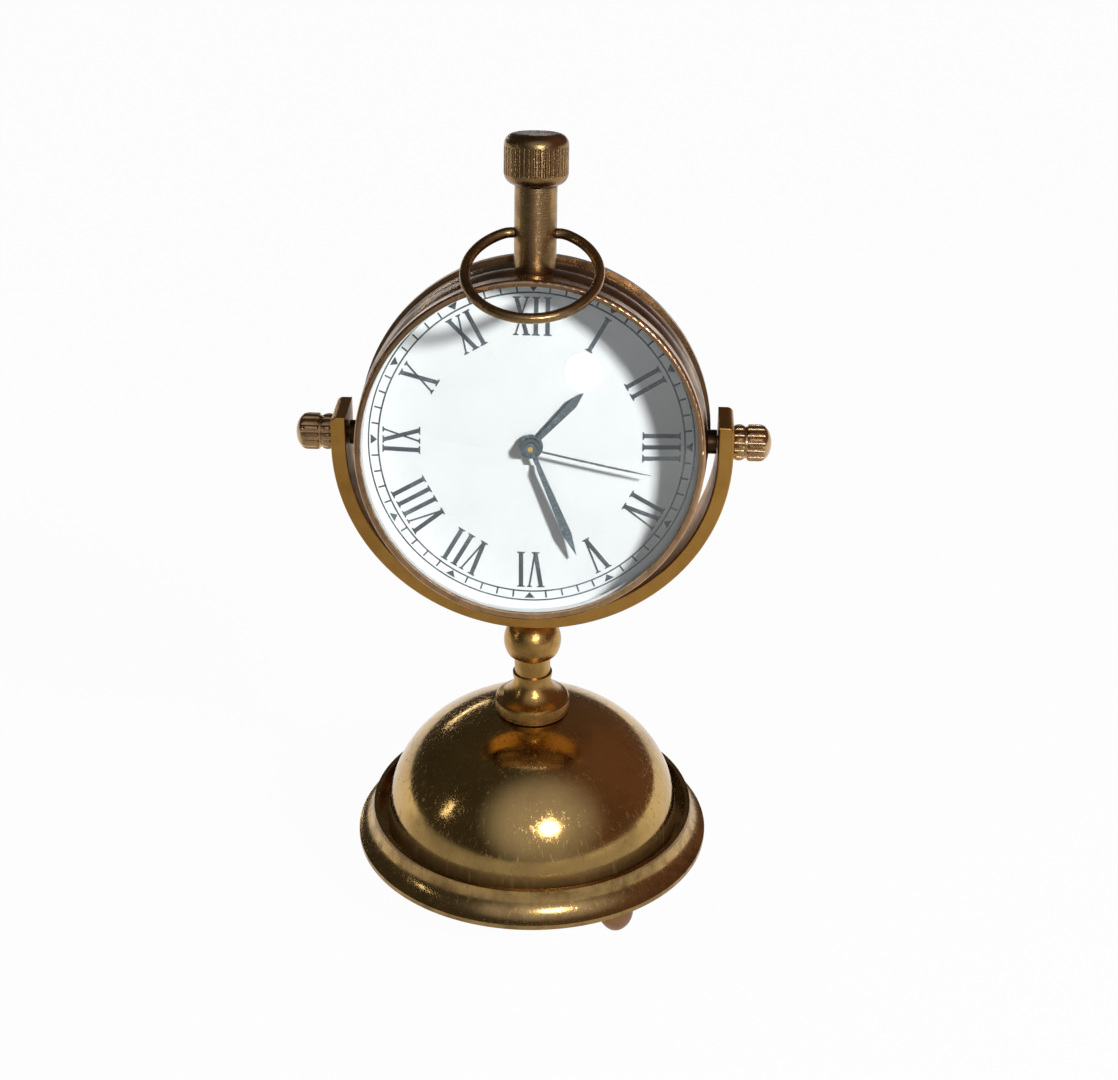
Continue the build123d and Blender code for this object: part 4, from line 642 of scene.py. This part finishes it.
# %% Lamps
def lamp(name, toward, distance, wide, tall, watts):
    """A lamp that faces the dial, sizes in metres: a disc where both agree, otherwise a strip."""
    direction = Vector(toward).normalized()
    light = bpy.data.lights.new(name, "AREA")
    light.shape = "DISK" if wide == tall else "RECTANGLE"
    light.size = wide
    light.size_y = tall
    light.energy = watts
    obj = bpy.data.objects.new(name, light)
    bpy.context.collection.objects.link(obj)
    obj.location = dial_centre + direction * distance
    obj.rotation_euler = direction.to_track_quat("Z", "Y").to_euler()
    # The lens lets lamp light straight through, so it isn't found a second time by refraction.
    obj.visible_transmission = False
    return obj


def bearing(azimuth, elevation):
    """A direction from the clock, in degrees: azimuth from the front to the right, elevation upwards."""
    flat = math.cos(math.radians(elevation))
    return (flat * math.sin(math.radians(azimuth)), -flat * math.cos(math.radians(azimuth)),
            math.sin(math.radians(elevation)))


# The key lights what is matt, the other lamps are there to be mirrored.
key = lamp("key_lamp", bearing(53.5, 27.0), distance=0.7, wide=0.08, tall=0.08, watts=8.5)
key.visible_glossy = False
front = lamp("front_lamp", bearing(18.0, 25.5), distance=0.42, wide=0.10, tall=0.10, watts=0.56)
left_strip = lamp("left_strip", bearing(-73.0, 15.0), distance=0.45, wide=0.010, tall=0.12, watts=0.040)
rear_strip = lamp("rear_strip", bearing(-152.0, 10.0), distance=0.5, wide=0.18, tall=0.010, watts=0.050)
for mirrored_lamp in (front, left_strip, rear_strip):
    mirrored_lamp.visible_diffuse = False
print("lamps:", key.name, front.name, left_strip.name, rear_strip.name)

# %% World
world = bpy.data.worlds.new("dim_room")
bpy.context.scene.world = world
world.use_nodes = True
room = world.node_tree
room.nodes.clear()
way = add(room, "ShaderNodeTexCoord").outputs["Generated"]
side = add(room, "ShaderNodeSeparateXYZ", {"Vector": way})
# Olive shade on the left turns to red-brown on the right. These are levels of light, linear already.
across = add(room, "ShaderNodeMapRange", {
    "Value": side.outputs["X"], "From Min": -0.2, "From Max": 0.7}, interpolation_type="SMOOTHSTEP")
walls = add(room, "ShaderNodeMix", {
    "Factor": across.outputs["Result"], "A": (0.055, 0.052, 0.045, 1.0), "B": (0.17, 0.095, 0.075, 1.0)},
    data_type="RGBA")
# The patch of light is strongest where a direction agrees with the one to its middle.
agree = add(room, "ShaderNodeVectorMath", {0: way, 1: bearing(14.0, 36.0)}, operation="DOT_PRODUCT")
patch = add(room, "ShaderNodeMapRange", {
    "Value": agree.outputs["Value"], "From Min": 0.60, "From Max": 0.98}, interpolation_type="SMOOTHSTEP")
tone = add(room, "ShaderNodeMix", {
    "Factor": patch.outputs["Result"], "A": walls.outputs["Result"], "B": (0.52, 0.53, 0.62, 1.0)},
    data_type="RGBA")
sky = add(room, "ShaderNodeBackground", {"Color": tone.outputs["Result"], "Strength": 1.0})
# Past the floor's edge the eye sees the same white as the floor, through the lens too.
paper_white = add(room, "ShaderNodeBackground", {"Color": (PAPER_WHITE,) * 3 + (1.0,), "Strength": 1.0})
looking = add(room, "ShaderNodeLightPath")
by_eye = add(room, "ShaderNodeMath", {
    0: looking.outputs["Is Camera Ray"], 1: looking.outputs["Is Transmission Ray"]},
    operation="MAXIMUM")
backdrop = add(room, "ShaderNodeMixShader", {
    0: by_eye.outputs["Value"], 1: sky.outputs["Background"], 2: paper_white.outputs["Background"]})
add(room, "ShaderNodeOutputWorld", {"Surface": backdrop.outputs["Shader"]})
# Brass mirrors the room. The dial's light comes from the lamps alone.
world.cycles_visibility.diffuse = False
print("world:", world.name)

# %% [markdown]
# The camera stands where the photograph was taken from: above the clock, looking down on it, with the
# picture rolled by half a degree. The clock was turned a little from the camera, so the camera's whole
# place is swung round the clock's upright.

# %% Camera
SENSOR, PICTURE_WIDTH, FOCAL_PIXELS = 36.0, 1118, 2104
lens_view = bpy.data.cameras.new("camera")
lens_view.sensor_width = SENSOR
lens_view.lens = SENSOR * FOCAL_PIXELS / PICTURE_WIDTH
camera = bpy.data.objects.new("camera", lens_view)
bpy.context.collection.objects.link(camera)
SWING, PITCH, ROLL = math.radians(2.6), math.radians(27.146), math.radians(0.5)
stand = Matrix.Translation((4.2 * MM, -300 * MM, 214.7 * MM))
aim = Euler((math.pi / 2 - PITCH, 0.0, ROLL), "ZYX").to_matrix().to_4x4()
camera.matrix_world = Matrix.Rotation(SWING, 4, "Z") @ stand @ aim
bpy.context.scene.camera = camera
bpy.context.scene.view_settings.view_transform = "Standard"
print("camera lens (mm):", round(lens_view.lens, 2))

# %% [markdown]
# Last, the view layer is brought up to date.

# %% Finish
bpy.context.view_layer.update()
